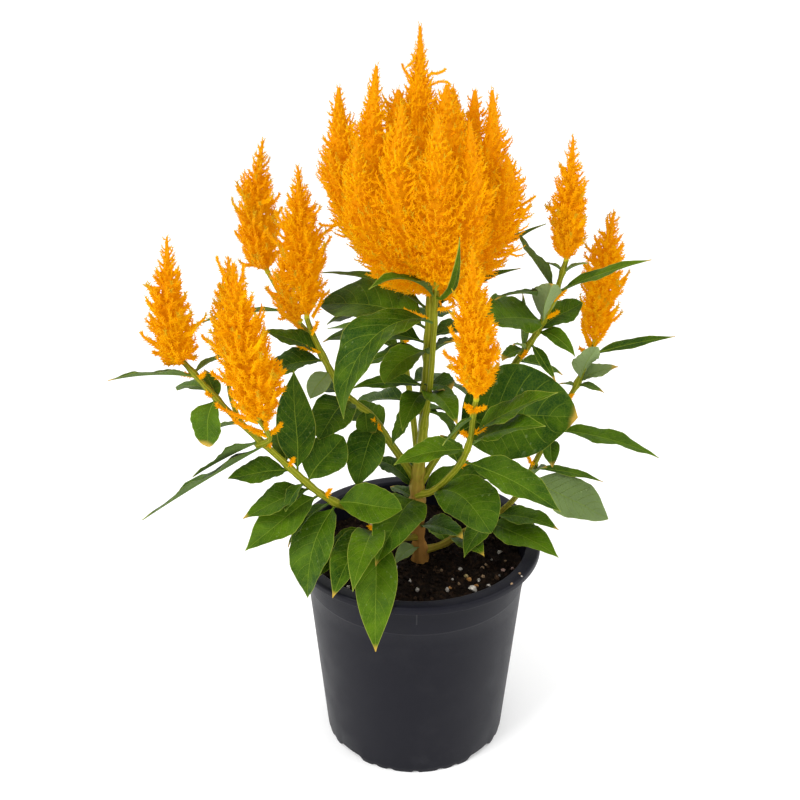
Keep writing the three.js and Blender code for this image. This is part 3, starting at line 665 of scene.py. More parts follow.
def tube(spots, direction, radii, sides, rib=0.0):
    """
    Rings round a path, closed with a point at each end. The radius swells by rib times a cosine
    round the ring, which makes the ribs of a stem.
    """
    turn = np.arange(sides) * 2 * np.pi / sides
    girth = radii[:, None] * (1 + rib * np.cos(STEM_RIBS * turn))
    rings = spots[:, None] + girth[..., None] * circles(direction, sides)
    rows = len(spots)
    points = np.concatenate((rings.reshape(-1, 3), spots[:1], spots[-1:]))
    faces = [grid(rows, sides, around=True), fan(rows * sides, np.arange(sides), turned=True),
             fan(rows * sides + 1, (rows - 1) * sides + np.arange(sides))]
    return points, faces, np.append(np.tile(np.arange(sides) / sides, rows), (0.5, 0.5))


def joined(parts):
    """Several (points, faces, marks) as one, with the faces renumbered and split by their size."""
    counts = np.cumsum([0] + [len(points) for points, _, _ in parts])
    faces = [array + first for (_, arrays, _), first in zip(parts, counts) for array in arrays]
    by_size = [np.concatenate([f for f in faces if f.shape[1] == n])
               for n in (3, 4) if any(f.shape[1] == n for f in faces)]
    marks = {key: np.concatenate([m[key] for _, _, m in parts]) for key in parts[0][2]}
    return np.concatenate([points for points, _, _ in parts]), by_size, marks


def stem_paint(start):
    """Green with paler stripes along the ribs, which waver, and tan where the cork has grown."""
    place = start.place()
    round_stem = start.mark("round_stem")
    cork = start.mark("cork")
    stripe = round_stem * 2 * np.pi * STEM_RIBS + place.noise(75, 2) * 5
    stripe = stripe.math("COSINE").step(-0.2, 1.0)
    mottle = place.noise(420, 4, 0.6)
    green = (stripe * 0.75 + mottle.step(0.4, 0.8) * 0.3).at_most_one()
    green = green.between(STEM_GREEN, STEM_STRIPE)
    colour = (cork + mottle * 0.5 - 0.25).step(0.1, 0.9).between(green, STEM_CORK)
    bump = (stripe + mottle * (cork * 2 + 1)).bump(0.6, 0.0004)
    return {"Base Color": colour, "Roughness": mottle * 0.15 + 0.42, "Normal": bump,
            "Specular IOR Level": 0.1}


def stem_surface(name):
    """
    A ribbed tube along a stem's curve, with a swelling at its root and at each leaf's base, each a
    bell curve. The old part of the trunk is knobbly: two sines of the turn round it and the height.
    """
    points, radii = STEMS[name]
    _, length = by_length(points, [0.0])
    lengths = np.linspace(0, 1, max(16, int(length / STEM_RING_SPACING)))
    shares, _ = by_length(points, lengths)
    spots, direction = along(points, shares)
    girth = np.interp(shares, np.linspace(0, 1, len(radii)), radii)
    for leaf_share, *_ in LEAVES.get(name, []):
        away = (lengths - leaf_share) * length / AXIL_LENGTH
        girth = girth + AXIL_SWELL * np.exp(-(away**2))
    if name == "trunk":
        collar = np.abs(spots[:, 2] - SOIL_HEIGHT)
        swell = COLLAR_SWELL * np.exp(-((collar / COLLAR_LENGTH) ** 2))
        girth = girth * (1 + swell + 0.06 * np.sin(0.55 * spots[:, 2]))
    else:
        girth = girth * (1 + ROOT_SWELL * np.exp(-((lengths * length / ROOT_LENGTH) ** 2)))
    body, faces, turns = tube(spots, direction, girth, STEM_SIDES, RIB_DEPTH)
    if name == "trunk":
        axis = np.concatenate((np.repeat(spots, STEM_SIDES, axis=0), spots[:1], spots[-1:]))
        turn, old = 2 * np.pi * turns, np.clip((KNOB_TOP - body[:, 2]) / KNOB_FADE, 0, 1)
        knobs = np.sin(3 * turn + 0.31 * body[:, 2]) + np.sin(2 * turn - 0.53 * body[:, 2] + 1)
        body = axis + (body - axis) * (1 + KNOB_DEPTH * old * knobs)[:, None]
    cork = np.clip((CORK_TOP - body[:, 2]) / CORK_FADE, 0, 1)
    cork = cork * (1.0 if name == "trunk" else BRANCH_CORK)
    return body, faces, {"round_stem": turns, "cork": cork}


def build_stems():
    """The stems of each node of the model, as one piece."""
    material = finish("stem_skin", stem_paint)
    for node, stems in BRANCHES.items():
        points, faces, marks = joined([stem_surface(name) for name in stems])
        make(f"{node}_stems", points, faces, material, [node], sharp=60, marks=marks)


# ---- Leaves -----------------------------------------------------------------------------------
# Thin, lance-shaped leaves on short stalks, each growing straight from a stem. A pale midrib and
# arching side veins press into the upper face, the blade puffs up between them, and the edges
# wave. Young leaves near the plumes are narrow, and some lower ones show their pale underside.

# Each row: how far up the stem the leaf grows, its tip, its width and the degrees it arches over
# and is rolled. Two more say, where they aren't the usual ones, how pale it is (0 to 1, or darker
# below 0) and how many degrees each half is folded up from the midrib.
LEAVES = {
    "trunk": [
        (0.87, (-61, 28, 301), 44, 50, -15),
        (0.83, (-60, 30, 275), 28, 45, -10),
        (0.93, (-61, 30, 322), 12, 45, -5),
        (0.81, (-20, -22, 270), 25, 60, 0),
        (0.80, (-39, 10, 265), 16, 40, -10),
        (0.70, (-40, -12, 262), 16, 30, -12),
        (0.67, (24, -44, 253), 20, 75, 0),
        (0.68, (-9, -30, 242), 18, 70, 0),
        (0.62, (20, 20, 230), 22, 40, 0),
        (0.32, (-25, -72, 172), 33, 55, -10),
        (0.32, (59, 6, 190), 26, 50, 10),
        (0.15, (-14, -22, 140), 13, 50, 0, 0.8),
        (0.31, (-17, 22, 173), 14, 40, 0),
        (0.35, (-27, 22, 194), 22, 50, 0),
        (0.85, (48, 26, 278), 22, 50, 5),
        (0.79, (23, -6, 291), 22, 40, 0),
        (0.70, (21, -10, 259), 24, 60, 0),
    ],
    "fore_shoot": [
        (0.78, (-43, -62, 266), 38, 130, 0),
        (0.94, (-28, -46, 340), 14, 80, 0),
        (0.95, (22, -56, 374), 6, -85, 0, -0.4),
    ],
    "low_shoot": [
        (0.98, (-25, -93, 124), 27, 62, 0),
        (0.98, (-59, -72, 165), 23, 40, -6),
        (0.94, (-50, -95, 165), 26, 55, -5),
        (0.94, (-38, -96, 170), 22, 75, 0),
    ],
    "left": [
        (0.95, (-173, -75, 297), 13, 22, 22),
        (0.89, (-146, -22, 268), 17, 20, -15),
        (0.85, (-126, -34, 285), 10, 25, 0),
        (0.86, (-122, -66, 250), 22, 75, 10),
        (0.68, (-133, -62, 228), 20, 12, 30),
        (0.66, (-164, -68, 202), 20, 5, 24),
        (0.54, (-112, -62, 227), 21, 4, -18),
        (0.45, (-105, -60, 198), 22, 6, -12),
        (0.48, (-79, -62, 204), 13, 40, 20),
        (0.41, (-104, -66, 179), 27, 15, -20),
        (0.36, (-80, -50, 171), 14, 50, 10),
        (0.34, (-67, -71, 148), 34, 80, 12),
        (0.35, (-9, -46, 196), 28, 12, 32),
        (0.47, (-45, -26, 236), 28, 22, 28),
        (0.51, (-75, -14, 275), 25, 18, -8),
        (0.56, (-87, -16, 239), 14, 18, 0),
        (0.96, (-111, -35, 296), 6, 20, 0, 0.3),
        (0.76, (-124, -40, 246), 7, 30, 20, 0.3),
    ],
    "rear_left": [
        (0.52, (-60, -30, 236), 28, 60, -10),
        (0.58, (-67, 30, 242), 22, 30, -15),
        (0.80, (-96, 8, 292), 19, 25, -15),
        (0.77, (-94, 0, 266), 26, 28, -10),
        (0.71, (-66, -8, 253), 14, 30, -25, 1),
        (0.34, (-37, -30, 203), 26, 75, -5),
        (0.29, (-44, 30, 231), 24, 20, -10),
    ],
    "rear_left_side": [
        (0.60, (-143, 30, 286), 9, 28, 12),
    ],
    "front": [
        (0.12, (46, -48, 180), 40, 80, 8),
        (0.89, (14, -66, 251), 8, 20, 20),
        (0.74, (78, -74, 289), 20, 22, 18),
        (0.66, (71, -84, 273), 22, 30, 18),
        (0.51, (86, -62, 204), 27, 20, 14),
        (0.46, (15, -8, 228), 14, 30, 0),
        (0.62, (-14, -60, 235), 20, 30, -10),
    ],
    "right": [
        (0.20, (100, -14, 243), 66, 46, 48),
        (0.65, (87, 0, 261), 8, 10, 10),
        (0.70, (98, 0, 278), 12, 60, 20),
        (0.70, (105, 30, 302), 22, 20, 20),
        (0.74, (80, -8, 329), 24, 20, -10, 1, 40),
        (0.75, (41, -8, 306), 36, 8, -22),
        (0.83, (47, 2, 315), 10, 60, 12),
        (0.60, (66, 22, 312), 7, 20, 0),
        (0.88, (59, 22, 354), 16, -8, 30),
        (0.87, (139, -2, 342), 11, 14, 22),
        (0.57, (96, 34, 250), 14, 20, 10),
        (0.95, (103, 6, 337), 5, 40, 10, 0.3),
        (0.96, (77, 16, 334), 5, 40, 10, 0.3),
        (0.62, (59, 0, 286), 5, 30, 0, 0.3),
    ],
    "far_right": [
        (0.48, (129, 10, 155), 35, -12, 26, 0.8),
        (0.51, (128, 34, 170), 8, 15, 22),
        (0.29, (92, -18, 164), 18, 38, 14),
        (0.25, (91, -32, 152), 26, 25, 14),
        (0.28, (31, -26, 148), 18, 50, 0),
        (0.12, (44, -26, 149), 20, 55, 8),
        (0.09, (14, 22, 144), 16, 30, 0),
        (0.66, (161, 20, 196), 17, 28, 12),
        (0.86, (117, 34, 270), 18, 20, -30, 1),
        (0.85, (132, 36, 255), 14, 30, 20, 1),
        (0.955, (172, 56, 268), 9, 8, 24),
        (0.63, (90, 14, 192), 12, 50, 0),
        (0.84, (122, 24, 242), 6, 30, 20, 0.3),
        (0.84, (95, 44, 239), 6, 30, 15, 0.3),
    ],
    "far_right_bud": [
        (0.71, (56, -8, 206), 12, 30, 0),
        (0.83, (83, -10, 206), 9, 30, 10, 0.3),
    ],
    "rear": [
        (0.30, (-50, 62, 205), 26, 50, 0),
        (0.38, (38, 74, 214), 28, 50, 0),
        (0.50, (-60, 84, 262), 24, 45, 0),
        (0.62, (30, 94, 268), 22, 45, 0),
        (0.74, (-24, 97, 262), 20, 70, 0),
    ],
}
# Small leaves among the others, in the same order.
INNER_LEAVES = {
    "trunk": [
        (0.90, (-57, 28, 288), 34, 55, -14),
        (0.62, (23, 14, 217), 20, 60, 0, -0.2),
        (0.64, (-15, -8, 220), 18, 55, 0, -0.2),
        (0.22, (30, -24, 161), 22, 60, 0),
        (0.97, (80, 36, 352), 9, 25, 10),
        (0.93, (64, 22, 328), 9, 30, 10),
    ],
    "right": [
        (0.62, (54, 14, 269), 12, 50, 0),
        (0.30, (52, -2, 228), 14, 50, 0),
    ],
    "rear_left": [
        (0.45, (-30, -6, 224), 15, 50, 0),
    ],
}
PETIOLE_SHARE = 0.1
LEAF_RISE, LEAF_FALL, BROAD_FALL = 0.75, 1.2, 0.8
LEAF_WAVE, LEAF_RUFFLE, LEAF_PUFF = 1.8, 0.45, 0.6
LEAF_FOLD, LEAF_TWIST, LEAF_SWAY = 14, 6, 0.035
STALK_GIRTH, STALK_TAPER = 0.75, 0.6
LEAF_ROWS, LEAF_COLUMNS = 25, 13
BLADE_THICKNESS = 0.34
# The width from which a leaf waves and puffs in full, and the length of one wave of its edge.
FULL_WIDTH, WAVE_LENGTH = 20, 20
DRY_TIP_LENGTH, DRY_TIP_SHARE = 6, 0.45
VEIN_PAIRS = 9
LEAF_GREEN = (0.078, 0.155, 0.002)
LEAF_DEEP = (0.014, 0.05, 0.001)
LEAF_PALE = (0.24, 0.32, 0.13)
LEAF_VEIN = (0.19, 0.28, 0.025)
LEAF_MARGIN = (0.32, 0.36, 0.05)
LEAF_DRY = (0.5, 0.33, 0.05)


def leaf_half(blade, width, length):
    """
    Half the blade's width from its stalk (0) to its tip (1): it rises as a power of the distance
    from the stalk and falls as a power of the distance to the tip, a lower one on a broad leaf.
    """
    fall = LEAF_FALL + (BROAD_FALL - LEAF_FALL) * np.clip((width / length - 0.5) / 0.1, 0, 1)
    widest = LEAF_RISE / (LEAF_RISE + fall)
    greatest = widest**LEAF_RISE * (1 - widest) ** fall
    swell = blade**LEAF_RISE * (1 - blade) ** fall / greatest
    return swell, swell * width / 2


def leaf_surface(base, rng, tip, width, arch, roll, pale=0, fold=LEAF_FOLD):
    """
    One leaf as a grid of rows from stalk to tip and columns from edge to edge, with a face above
    and one below. The midrib is an arc of a circle that turns down by the arch; each half rises
    from it by the fold; the edges wave; the blade puffs up between its side veins.
    """
    chord = np.subtract(tip, base)
    heading = np.arctan2(chord[1], chord[0])
    bend = radians(arch)
    begin = np.arctan2(chord[2], np.hypot(chord[0], chord[1])) + bend / 2
    length = np.linalg.norm(chord) * (bend / 2) / np.sin(bend / 2)
    ahead = np.array((np.cos(heading), np.sin(heading), 0))
    level = np.array((-np.sin(heading), np.cos(heading), 0))
    up = np.array((0, 0, 1))
    s = np.linspace(0, 1, LEAF_ROWS)[:, None]
    rise = begin - bend * s
    rib = (base + ahead * length * (np.sin(begin) - np.sin(rise)) / bend
           + up * length * (np.cos(rise) - np.cos(begin)) / bend)
    normal = -np.sin(rise) * ahead + np.cos(rise) * up
    side = level * np.cos(radians(roll)) + normal * np.sin(radians(roll))
    normal = normal * np.cos(radians(roll)) - level * np.sin(radians(roll))
    spread = np.linspace(-1, 1, LEAF_COLUMNS)
    u = (np.sign(spread) * np.abs(spread) ** 1.3)[None, :]
    blade = np.clip((s - PETIOLE_SHARE) / (1 - PETIOLE_SHARE), 0, 1)
    swell, half = leaf_half(blade, width, length)
    half = np.maximum(half, STALK_GIRTH - STALK_TAPER * s)
    waves = np.clip(np.round(length / WAVE_LENGTH) + 2, 4, 7) - 1
    size, present = min(1, width / FULL_WIDTH), np.minimum(1, swell)
    wave = -LEAF_WAVE * np.cos(np.pi * waves * s) * size
    ruffles = 2 * np.pi * (VEIN_PAIRS * 0.8 * s + rng.uniform(0, 1)) + 2.2 * np.sign(u)
    fine = LEAF_RUFFLE * size * np.sin(ruffles)
    puffs = np.sin(np.pi * (VEIN_PAIRS * blade - 2.0 * np.abs(u) ** 1.2) + 1.2) ** 2
    puff = LEAF_PUFF * size * puffs
    twist = radians(rng.uniform(-LEAF_TWIST, LEAF_TWIST)) * s * half * u
    edge = (wave * u**2 + fine * np.abs(u) ** 3) * present
    lift = (np.abs(u) * half * np.sin(radians(fold)) + edge
            + puff * present * (1 - np.abs(u) ** 4) * np.minimum(1, 3 * np.abs(u)) + twist)
    drift = LEAF_SWAY * width * np.sin(2 * np.pi * s * 0.7 + rng.uniform(0, 6)) * present
    flat = rib[:, None] + side[:, None] * (u * half * np.cos(radians(fold)) + drift)[..., None]
    above = flat + normal[:, None] * (lift - 0.12)[..., None]
    from_rib = u * half / (0.55 + 0.45 * (1 - s))
    ridge = np.clip(1.15 - 1.0 * s, 0.12, 1.1) * np.exp(-(from_rib**2))
    thick = BLADE_THICKNESS * (1 - 0.6 * np.abs(u) ** 6) + ridge
    below = above - normal[:, None] * thick[..., None]
    rows, columns = LEAF_ROWS, LEAF_COLUMNS
    top, bottom = above.reshape(-1, 3), below[:, 1:-1].reshape(-1, 3)
    number = np.arange(rows * columns).reshape(rows, columns)
    under = number.copy()
    under[:, 1:-1] = rows * columns + np.arange(rows * (columns - 2)).reshape(rows, columns - 2)
    upper = grid(rows, columns)[:, ::-1]
    lower = under.ravel()[grid(rows, columns)]
    ends = []
    for k, turn in ((0, 1), (-1, -1)):
        a, b = number[k], under[k]
        ends.append(np.stack((a[1:-2], a[2:-1], b[2:-1], b[1:-2]), -1)[:, ::turn])
        ends.append(np.array([(a[0], a[1], b[1]), (a[-2], a[-1], b[-2])])[:, ::turn])
    points = np.concatenate((top, bottom))

    def both(field):
        """A field over the grid, for the points above and then for those below."""
        field = np.broadcast_to(field, (rows, columns))
        return np.concatenate((field.ravel(), field[:, 1:-1].ravel()))

    tone, dry = rng.uniform(0, 1), rng.uniform() < DRY_TIP_SHARE
    marks = {
        "across_leaf": both((u + 1) / 2), "along_leaf": both(s), "half_width": both(half),
        "underside": np.concatenate((np.zeros(rows * columns), np.ones(rows * (columns - 2)))),
        "pale": np.full(len(points), pale), "own_tone": np.full(len(points), tone),
        "dry_tip": np.clip(1 - (1 - both(s)) * length / DRY_TIP_LENGTH, 0, 1) * dry,
    }
    return points, [upper, lower, *ends], marks


def leaf_paint(start):
    """
    Green that varies from leaf to leaf and in patches, with a pale midrib, arching side veins as a
    saw wave of the place along the blade, a fine net between them, a thin margin and a dry tip.
    """
    place = start.place()
    off = (start.mark("across_leaf") * 2 - 1).math("ABSOLUTE")
    right = start.mark("across_leaf").math("GREATER_THAN", 0.5)
    s, half = start.mark("along_leaf"), start.mark("half_width")
    pale, tone, under = start.mark("pale"), start.mark("own_tone"), start.mark("underside")
    blade = (s - PETIOLE_SHARE) / (1 - PETIOLE_SHARE)
    phase = blade * VEIN_PAIRS - (off ** 1.2) * 2.0 + right * 0.5
    saw = phase.math("FRACT")
    vein = 1 - (saw - 0.5).math("ABSOLUTE").step(0.0, 0.065)
    vein = vein * (1 - off.step(0.75, 0.95)) * blade.step(0.02, 0.1) * (1 - blade.step(0.8, 0.95))
    cells = {"Vector": place, "Scale": 520.0}
    net = place.node("ShaderNodeTexVoronoi", {"feature": "DISTANCE_TO_EDGE"}, cells)
    net = 1 - net.step(0.0, 0.12)
    midrib = 1 - (off * half + s * 0.25).step(0.15, 0.5)
    margin = ((1 - off) * half).step(0.5, 0.12) * blade.step(0.03, 0.12)
    mottle = place.noise(120, 3, 0.55)
    patches = place.noise(34, 2, 0.6).step(0.3, 0.7)
    deep = (tone * 0.55 + mottle.step(0.3, 0.75) * 0.5 + patches * 0.5 - 0.22).math("MAXIMUM", 0.0)
    colour = deep.at_most_one().between(LEAF_GREEN, LEAF_DEEP)
    colour = (pale * 0.75 + under * 0.3).at_most_one().between(colour, LEAF_PALE)
    colour = (net * 0.14).between(colour, LEAF_VEIN)
    colour = (vein * 0.45).between(colour, LEAF_VEIN)
    colour = (midrib * 0.85).between(colour, LEAF_VEIN)
    colour = (margin * 0.7).between(colour, LEAF_MARGIN)
    dry = (start.mark("dry_tip") + mottle * 0.6 - 0.3).step(0.15, 0.8)
    colour = dry.between(colour, LEAF_DRY)
    relief = vein * -1.0 + midrib * -0.6 + net * -0.35
    bump = relief.bump(0.7, 0.0004)
    roughness = mottle * 0.12 + under * 0.15 + 0.42
    return {"Base Color": colour, "Roughness": roughness, "Normal": bump,
            "Specular IOR Level": 0.09}


def leaves_on(stems, table, rng):
    """The surfaces of the leaves that a table gives to these stems."""
    parts = []
    for name in stems:
        for row in table.get(name, []):
            share, _ = by_length(STEMS[name][0], [row[0]])
            base, _ = along(STEMS[name][0], share)
            parts.append(leaf_surface(base[0], rng, *row[1:]))
    return parts


def build_leaves():
    """The leaves of each node of the model, as one piece."""
    rng, inner_rng = np.random.default_rng(31), np.random.default_rng(52)
    material = finish("leaf_blade", leaf_paint)
    for node, stems in BRANCHES.items():
        parts = leaves_on(stems, LEAVES, rng) + leaves_on(stems, INNER_LEAVES, inner_rng)
        points, faces, marks = joined(parts)
        make(f"{node}_leaves", points, faces, material, [node], sharp=70, marks=marks)


build_stems()
build_leaves()


# ---- Plumes -----------------------------------------------------------------------------------
# Each plume is a spire of short branchlets that spiral up a stalk by the golden angle, each thickly
# set with papery, pointed florets, golden orange and olive at the growing tips. The big plume on
# the trunk is a goblet of seventeen such spires that have grown into one another.

# Each side plume: the stem it ends, the point it bows towards, its tip, its radius, how fast it
# opens below the tip and above its foot, and the length of its stalk that stays bare.
SIDE_PLUMES = {
    "plume_left": ("left", (-144, -49, 308), (-138, -50, 374), 11.4, 0.37, 0.9, 3),
    "plume_left_rear": ("left_rear", (-112, -8, 302), (-111, -10, 348), 9, 0.36, 0.9, 3),
    "plume_left_fore": ("left_fore", (-98, -66, 312), (-101, -66, 364), 13.6, 0.24, 0.7, -5),
    "plume_rear_left_side": (
        "rear_left_side", (-107, 52, 345), (-93.5, 50, 402), 11.6, 0.29, 0.8, 2,
    ),
    "plume_rear_left": ("rear_left", (-69, 10, 340), (-70, 10, 397), 13, 0.23, 0.5, 0),
    "plume_front": ("front", (32.5, -75, 300), (28, -72, 376), 11.9, 0.26, 0.5, 13),
    "plume_right": ("right", (90.5, 16, 355), (90.5, 15, 413), 10, 0.31, 0.5, 1),
    "plume_far_right": ("far_right", (117.5, 46, 302), (123.5, 47, 358), 11.8, 0.33, 0.6, 2),
    "plume_rear": ("rear", (-15, 79, 346), (-16, 78, 418), 12, 0.25, 0.8, 4),
}
# Lobes that grow beside a side plume's spire: each root, bow point, tip, radius and openings, and
# the length that stays bare.
LOBES = {
    "plume_rear_left": [((-71, 10, 297), (-85, 12, 308), (-81, 12, 342), 7.2, 0.45, 0.7, 0)],
    "plume_left_fore": [((-89, -62, 262), (-83, -62, 288), (-79, -60, 303), 5.5, 0.4, 0.6, 0)],
}
# The spires of the main plume: the point each one bows towards, its tip, its radius and how fast
# it opens below the tip.
MAIN_SPIRES = [
    ((0, 12, 398), (1, 10, 477), 20, 0.105), ((-49, 14, 348), (-45, 12, 443), 14.5, 0.34),
    ((-36, 4, 352), (-23, 4, 457), 16, 0.27), ((-14, 20, 351), (-11, 8, 442), 15, 0.8),
    ((15, -6, 368), (16, -2, 447), 15, 0.5), ((34, 20, 344), (32.5, 14, 441), 13, 0.4),
    ((50, 6, 341), (41.5, 6, 443), 14, 0.3), ((56, -4, 341), (51, -2, 406), 14, 0.7),
    ((-17, -30, 354), (-9, -20, 440), 14, 0.35), ((-38, -20, 348), (-34, -14, 420), 13.5, 0.35),
    ((-36, 42, 348), (-27, 32, 430), 14, 0.4), ((-4, 50, 352), (-3, 36, 440), 14, 0.4),
    ((34, 38, 346), (20, 24, 440), 13, 0.4), ((-46, 2, 352), (-51, 4, 408), 7.8, 0.6),
    ((22, -16, 320), (36, -22, 344), 8.5, 0.6),
]
FORE_SPIRES = [
    ((11, -33, 366), (10, -26, 436), 13, 0.35), ((35, -28, 354), (28, -18, 430), 13, 0.35),
]
# Branchlets that stand away from the rest: the plume they belong to, where each starts and ends,
# how it curls up (or down, if below 0) and how thick it is.
STRAY_BRANCHLETS = [
    ("plume_main", (5, 8, 448), (15, 8, 451), 2, 0.8),
    ("plume_main", (4, 8, 441), (18, 6, 442), -9, 0.9),
    ("plume_main", (-3, 8, 445), (-9, 8, 454), 4, 0.8),
    ("plume_main", (-7, 8, 452), (-2, 8, 458), 3, 0.7),
    ("plume_main", (52, 0, 371), (68, 0, 380), 3, 1.1),
    ("plume_main", (52, 0, 364), (65, 0, 374), 4, 0.9),
    ("plume_main", (-46, 8, 360), (-58, 8, 361), 3, 0.9),
    ("plume_main", (44, -4, 336), (56, -4, 350), 5, 1.0),
    ("plume_main", (11, -18, 329), (23, -24, 340), 4, 1.5),
    ("plume_main", (11, -17, 324), (27, -22, 330), 5, 1.5),
    ("plume_main", (11, -17, 316), (21, -22, 321), 4, 1.3),
    ("plume_main", (10, -17, 326), (0, -24, 332), 4, 1.4),
    ("plume_main", (9, -24, 338), (25, -45, 350), 4, 1.4),
    ("plume_left", (-137, -51, 300), (-157, -52, 316), 7, 1.7),
    ("plume_left", (-140, -51, 303), (-151, -52, 304), 4, 1.5),
    ("plume_left", (-136, -51, 302), (-126, -52, 308), 5, 1.5),
    ("plume_left_fore", (-103, -66, 289), (-116, -68, 299), 4, 1.6),
    ("plume_left_fore", (-106, -66, 310), (-120, -66, 320), 4, 1.6),
    ("plume_left_fore", (-104, -66, 350), (-109, -66, 366), 4, 1.1),
    ("plume_left_fore", (-98, -66, 346), (-95, -65, 361), 5, 1.2),
    ("plume_left_fore", (-92, -62, 264), (-115, -65, 277), 5, 1.8),
    ("plume_left_fore", (-90, -61, 257), (-106, -64, 267), 4, 1.5),
    ("plume_left_fore", (-88, -60, 254), (-97, -64, 262), 3, 1.6),
    ("plume_left_fore", (-88, -60, 254), (-79, -62, 263), 3, 1.6),
    ("plume_left_fore", (-88, -62, 259), (-87, -68, 268), 3, 1.7),
    ("plume_rear_left_side", (-100, 49, 352), (-85, 46, 368), 5, 1.5),
    ("plume_rear_left_side", (-99, 49, 342), (-84, 46, 359), 5, 1.5),
    ("plume_rear_left_side", (-97, 48, 330), (-86, 46, 346), 5, 1.5),
    ("plume_rear_left_side", (-104, 48, 334), (-114, 48, 343), 5, 1.3),
    ("plume_rear_left_side", (-80, 34, 294), (-93, 26, 314), 7, 1.9),
    ("plume_rear_left_side", (-75, 28, 289), (-86, 22, 302), 6, 1.9),
    ("plume_rear_left_side", (-70, 21, 285), (-79, 16, 300), 6, 1.8),
    ("plume_rear_left", (-68, 10, 346), (-48.5, 10, 361), 5, 1.5),
    ("plume_rear_left", (-66, 10, 336), (-52, 10, 352), 5, 1.5),
    ("plume_rear_left", (-74, 10, 350), (-84, 10, 368), 5, 1.4),
    ("plume_rear_left", (-76, 10, 340), (-90, 10, 356), 5, 1.5),
    ("plume_rear_left", (-64, 10, 300), (-57, 8, 318), 8, 1.6),
    ("plume_far_right", (116, 45, 266), (108, 44, 283), 7, 1.5),
    ("plume_far_right", (118, 45, 268), (126, 43, 285), 7, 1.5),
    ("plume_far_right", (124, 46, 296), (134, 46, 312), 5, 1.4),
    ("plume_far_right", (117, 46, 310), (107, 46, 322), 5, 1.4),
    ("plume_right", (91, 15, 337), (83, 14, 352), 7, 1.4),
    ("plume_right", (91, 15, 338), (99, 14, 353), 7, 1.4),
    ("plume_right", (91, 15, 338), (90, 8, 350), 7, 1.3),
    ("plume_front", (33, -69, 285), (24, -72, 299), 8, 1.7),
    ("plume_front", (33, -69, 285), (41, -73, 298), 8, 1.7),
    ("plume_front", (31, -72, 302), (14, -74, 314), 6, 1.8),
    ("plume_front", (32, -72, 312), (17, -74, 328), 6, 1.5),
]
PLUME_NECK, PLUME_NECK_LENGTH, NECK_SIDES = 1.7, 6, 14
MAIN_BARE = -3
# A spire's girth at its tip, how its cone curves there, its girth at the foot of its florets, and
# how fast the main plume's spires open above it.
TIP_GIRTH, TIP_CURVE, FOOT_GIRTH, MAIN_FOOT_OPENING = 0.9, 0.0026, 0.3, 1.0
GOLDEN_ANGLE = radians(137.508)
# A branchlet whose chance is above the first share stands out, and above the second far out.
STANDS_OUT, STANDS_FAR_OUT = 0.72, 0.9
# How far out, in girths, a branchlet's end is tried, and which of the tries is the girth itself.
REACHES, AT_GIRTH = np.linspace(0.6, 1.2, 7), 4
CORE_RINGS, CORE_SIDES = 30, 12
# How a plume's branchlets are set: the room each one takes, the share of the girth that the core
# fills, how thick they are, how far the longest stand out and how many florets each one bears.
SIDE_STYLE = {"spacing": 12, "heart": 0.4, "thick": 1.6, "teeth": 0.42, "each": 17}
MAIN_STYLE = {"spacing": 9.8, "heart": 0.6, "thick": 1.0, "teeth": 0.25, "each": 10}
TONGUE_SIDES, TONGUE_RINGS = 3, (0.0, 0.4, 0.78)
STRAY_FLORETS = 90
FLORET_LENGTH, FLORET_WIDTH = 1.75, 0.36
FLORET_GOLD = (0.7, 0.37, 0.0)
FLORET_ORANGE = (0.66, 0.27, 0.0)
# The deep orange painted in as shade towards each spire's core, and in fine darker specks.
FLORET_DEEP_AND_SHADED = (0.5, 0.15, 0.0)
FLORET_OLIVE = (0.36, 0.25, 0.01)
STALK_GREEN = (0.36, 0.37, 0.02)


def spire_axis(root, bow, tip, share):
    """Points and directions of the quadratic curve from root to tip that bows towards a point."""
    t = np.asarray(share, dtype=float)[:, None]
    root, bow, tip = (np.asarray(p, dtype=float) for p in (root, bow, tip))
    spot = (1 - t) ** 2 * root + 2 * t * (1 - t) * bow + t**2 * tip
    return spot, unit(2 * (1 - t) * (bow - root) + 2 * t * (tip - bow))


def spire_girth(share, spire):
    """
    Girth along a spire: the smooth minimum, of power 4, of its radius, of a cone that opens from
    its foot as a + b d, and of one that opens below its tip as a + b d + c d^2.
    """
    root, _, tip, radius, opening, foot_opening, bare = spire
    length = np.linalg.norm(np.subtract(tip, root))
    up, down = share * length - bare, (1 - share) * length
    foot = np.maximum(FOOT_GIRTH + foot_opening * up, 0.2)
    slim = TIP_GIRTH + opening * down + TIP_CURVE * down**2
    return (radius**-4.0 + foot**-4.0 + slim**-4.0) ** -0.25


def ragged(share, turn, rng):
    """How a spire's girth swells and shrinks: a sum of six waves that run round and along it."""
    waves = [np.sin(rng.uniform(20, 60) * share + rng.integers(-3, 4) * turn + rng.uniform(0, 6.3))
             for _ in range(6)]
    return 1 + 0.075 * np.sum(waves, axis=0)


def florets(bases, directions, lengths, widths, marks):
    """
    Florets as pointed papery spikes: a small triangle at the base and a point at the tip. Each
    mark is repeated for a floret's four points.
    """
    ring = circles(directions, 3)
    points = np.concatenate((bases[:, None] + ring * widths[:, None, None],
                             (bases + directions * lengths[:, None])[:, None]), axis=1)
    skin = np.array([(0, 2, 1), (0, 1, 3), (1, 2, 3), (2, 0, 3)])
    faces = (skin[None] + 4 * np.arange(len(bases))[:, None, None]).reshape(-1, 3)
    marks = {key: np.repeat(values, 4) for key, values in marks.items()}
    marks["floret_tip"] = np.tile((0.0, 0.0, 0.0, 1.0), len(bases))
    return points.reshape(-1, 3), [faces], marks


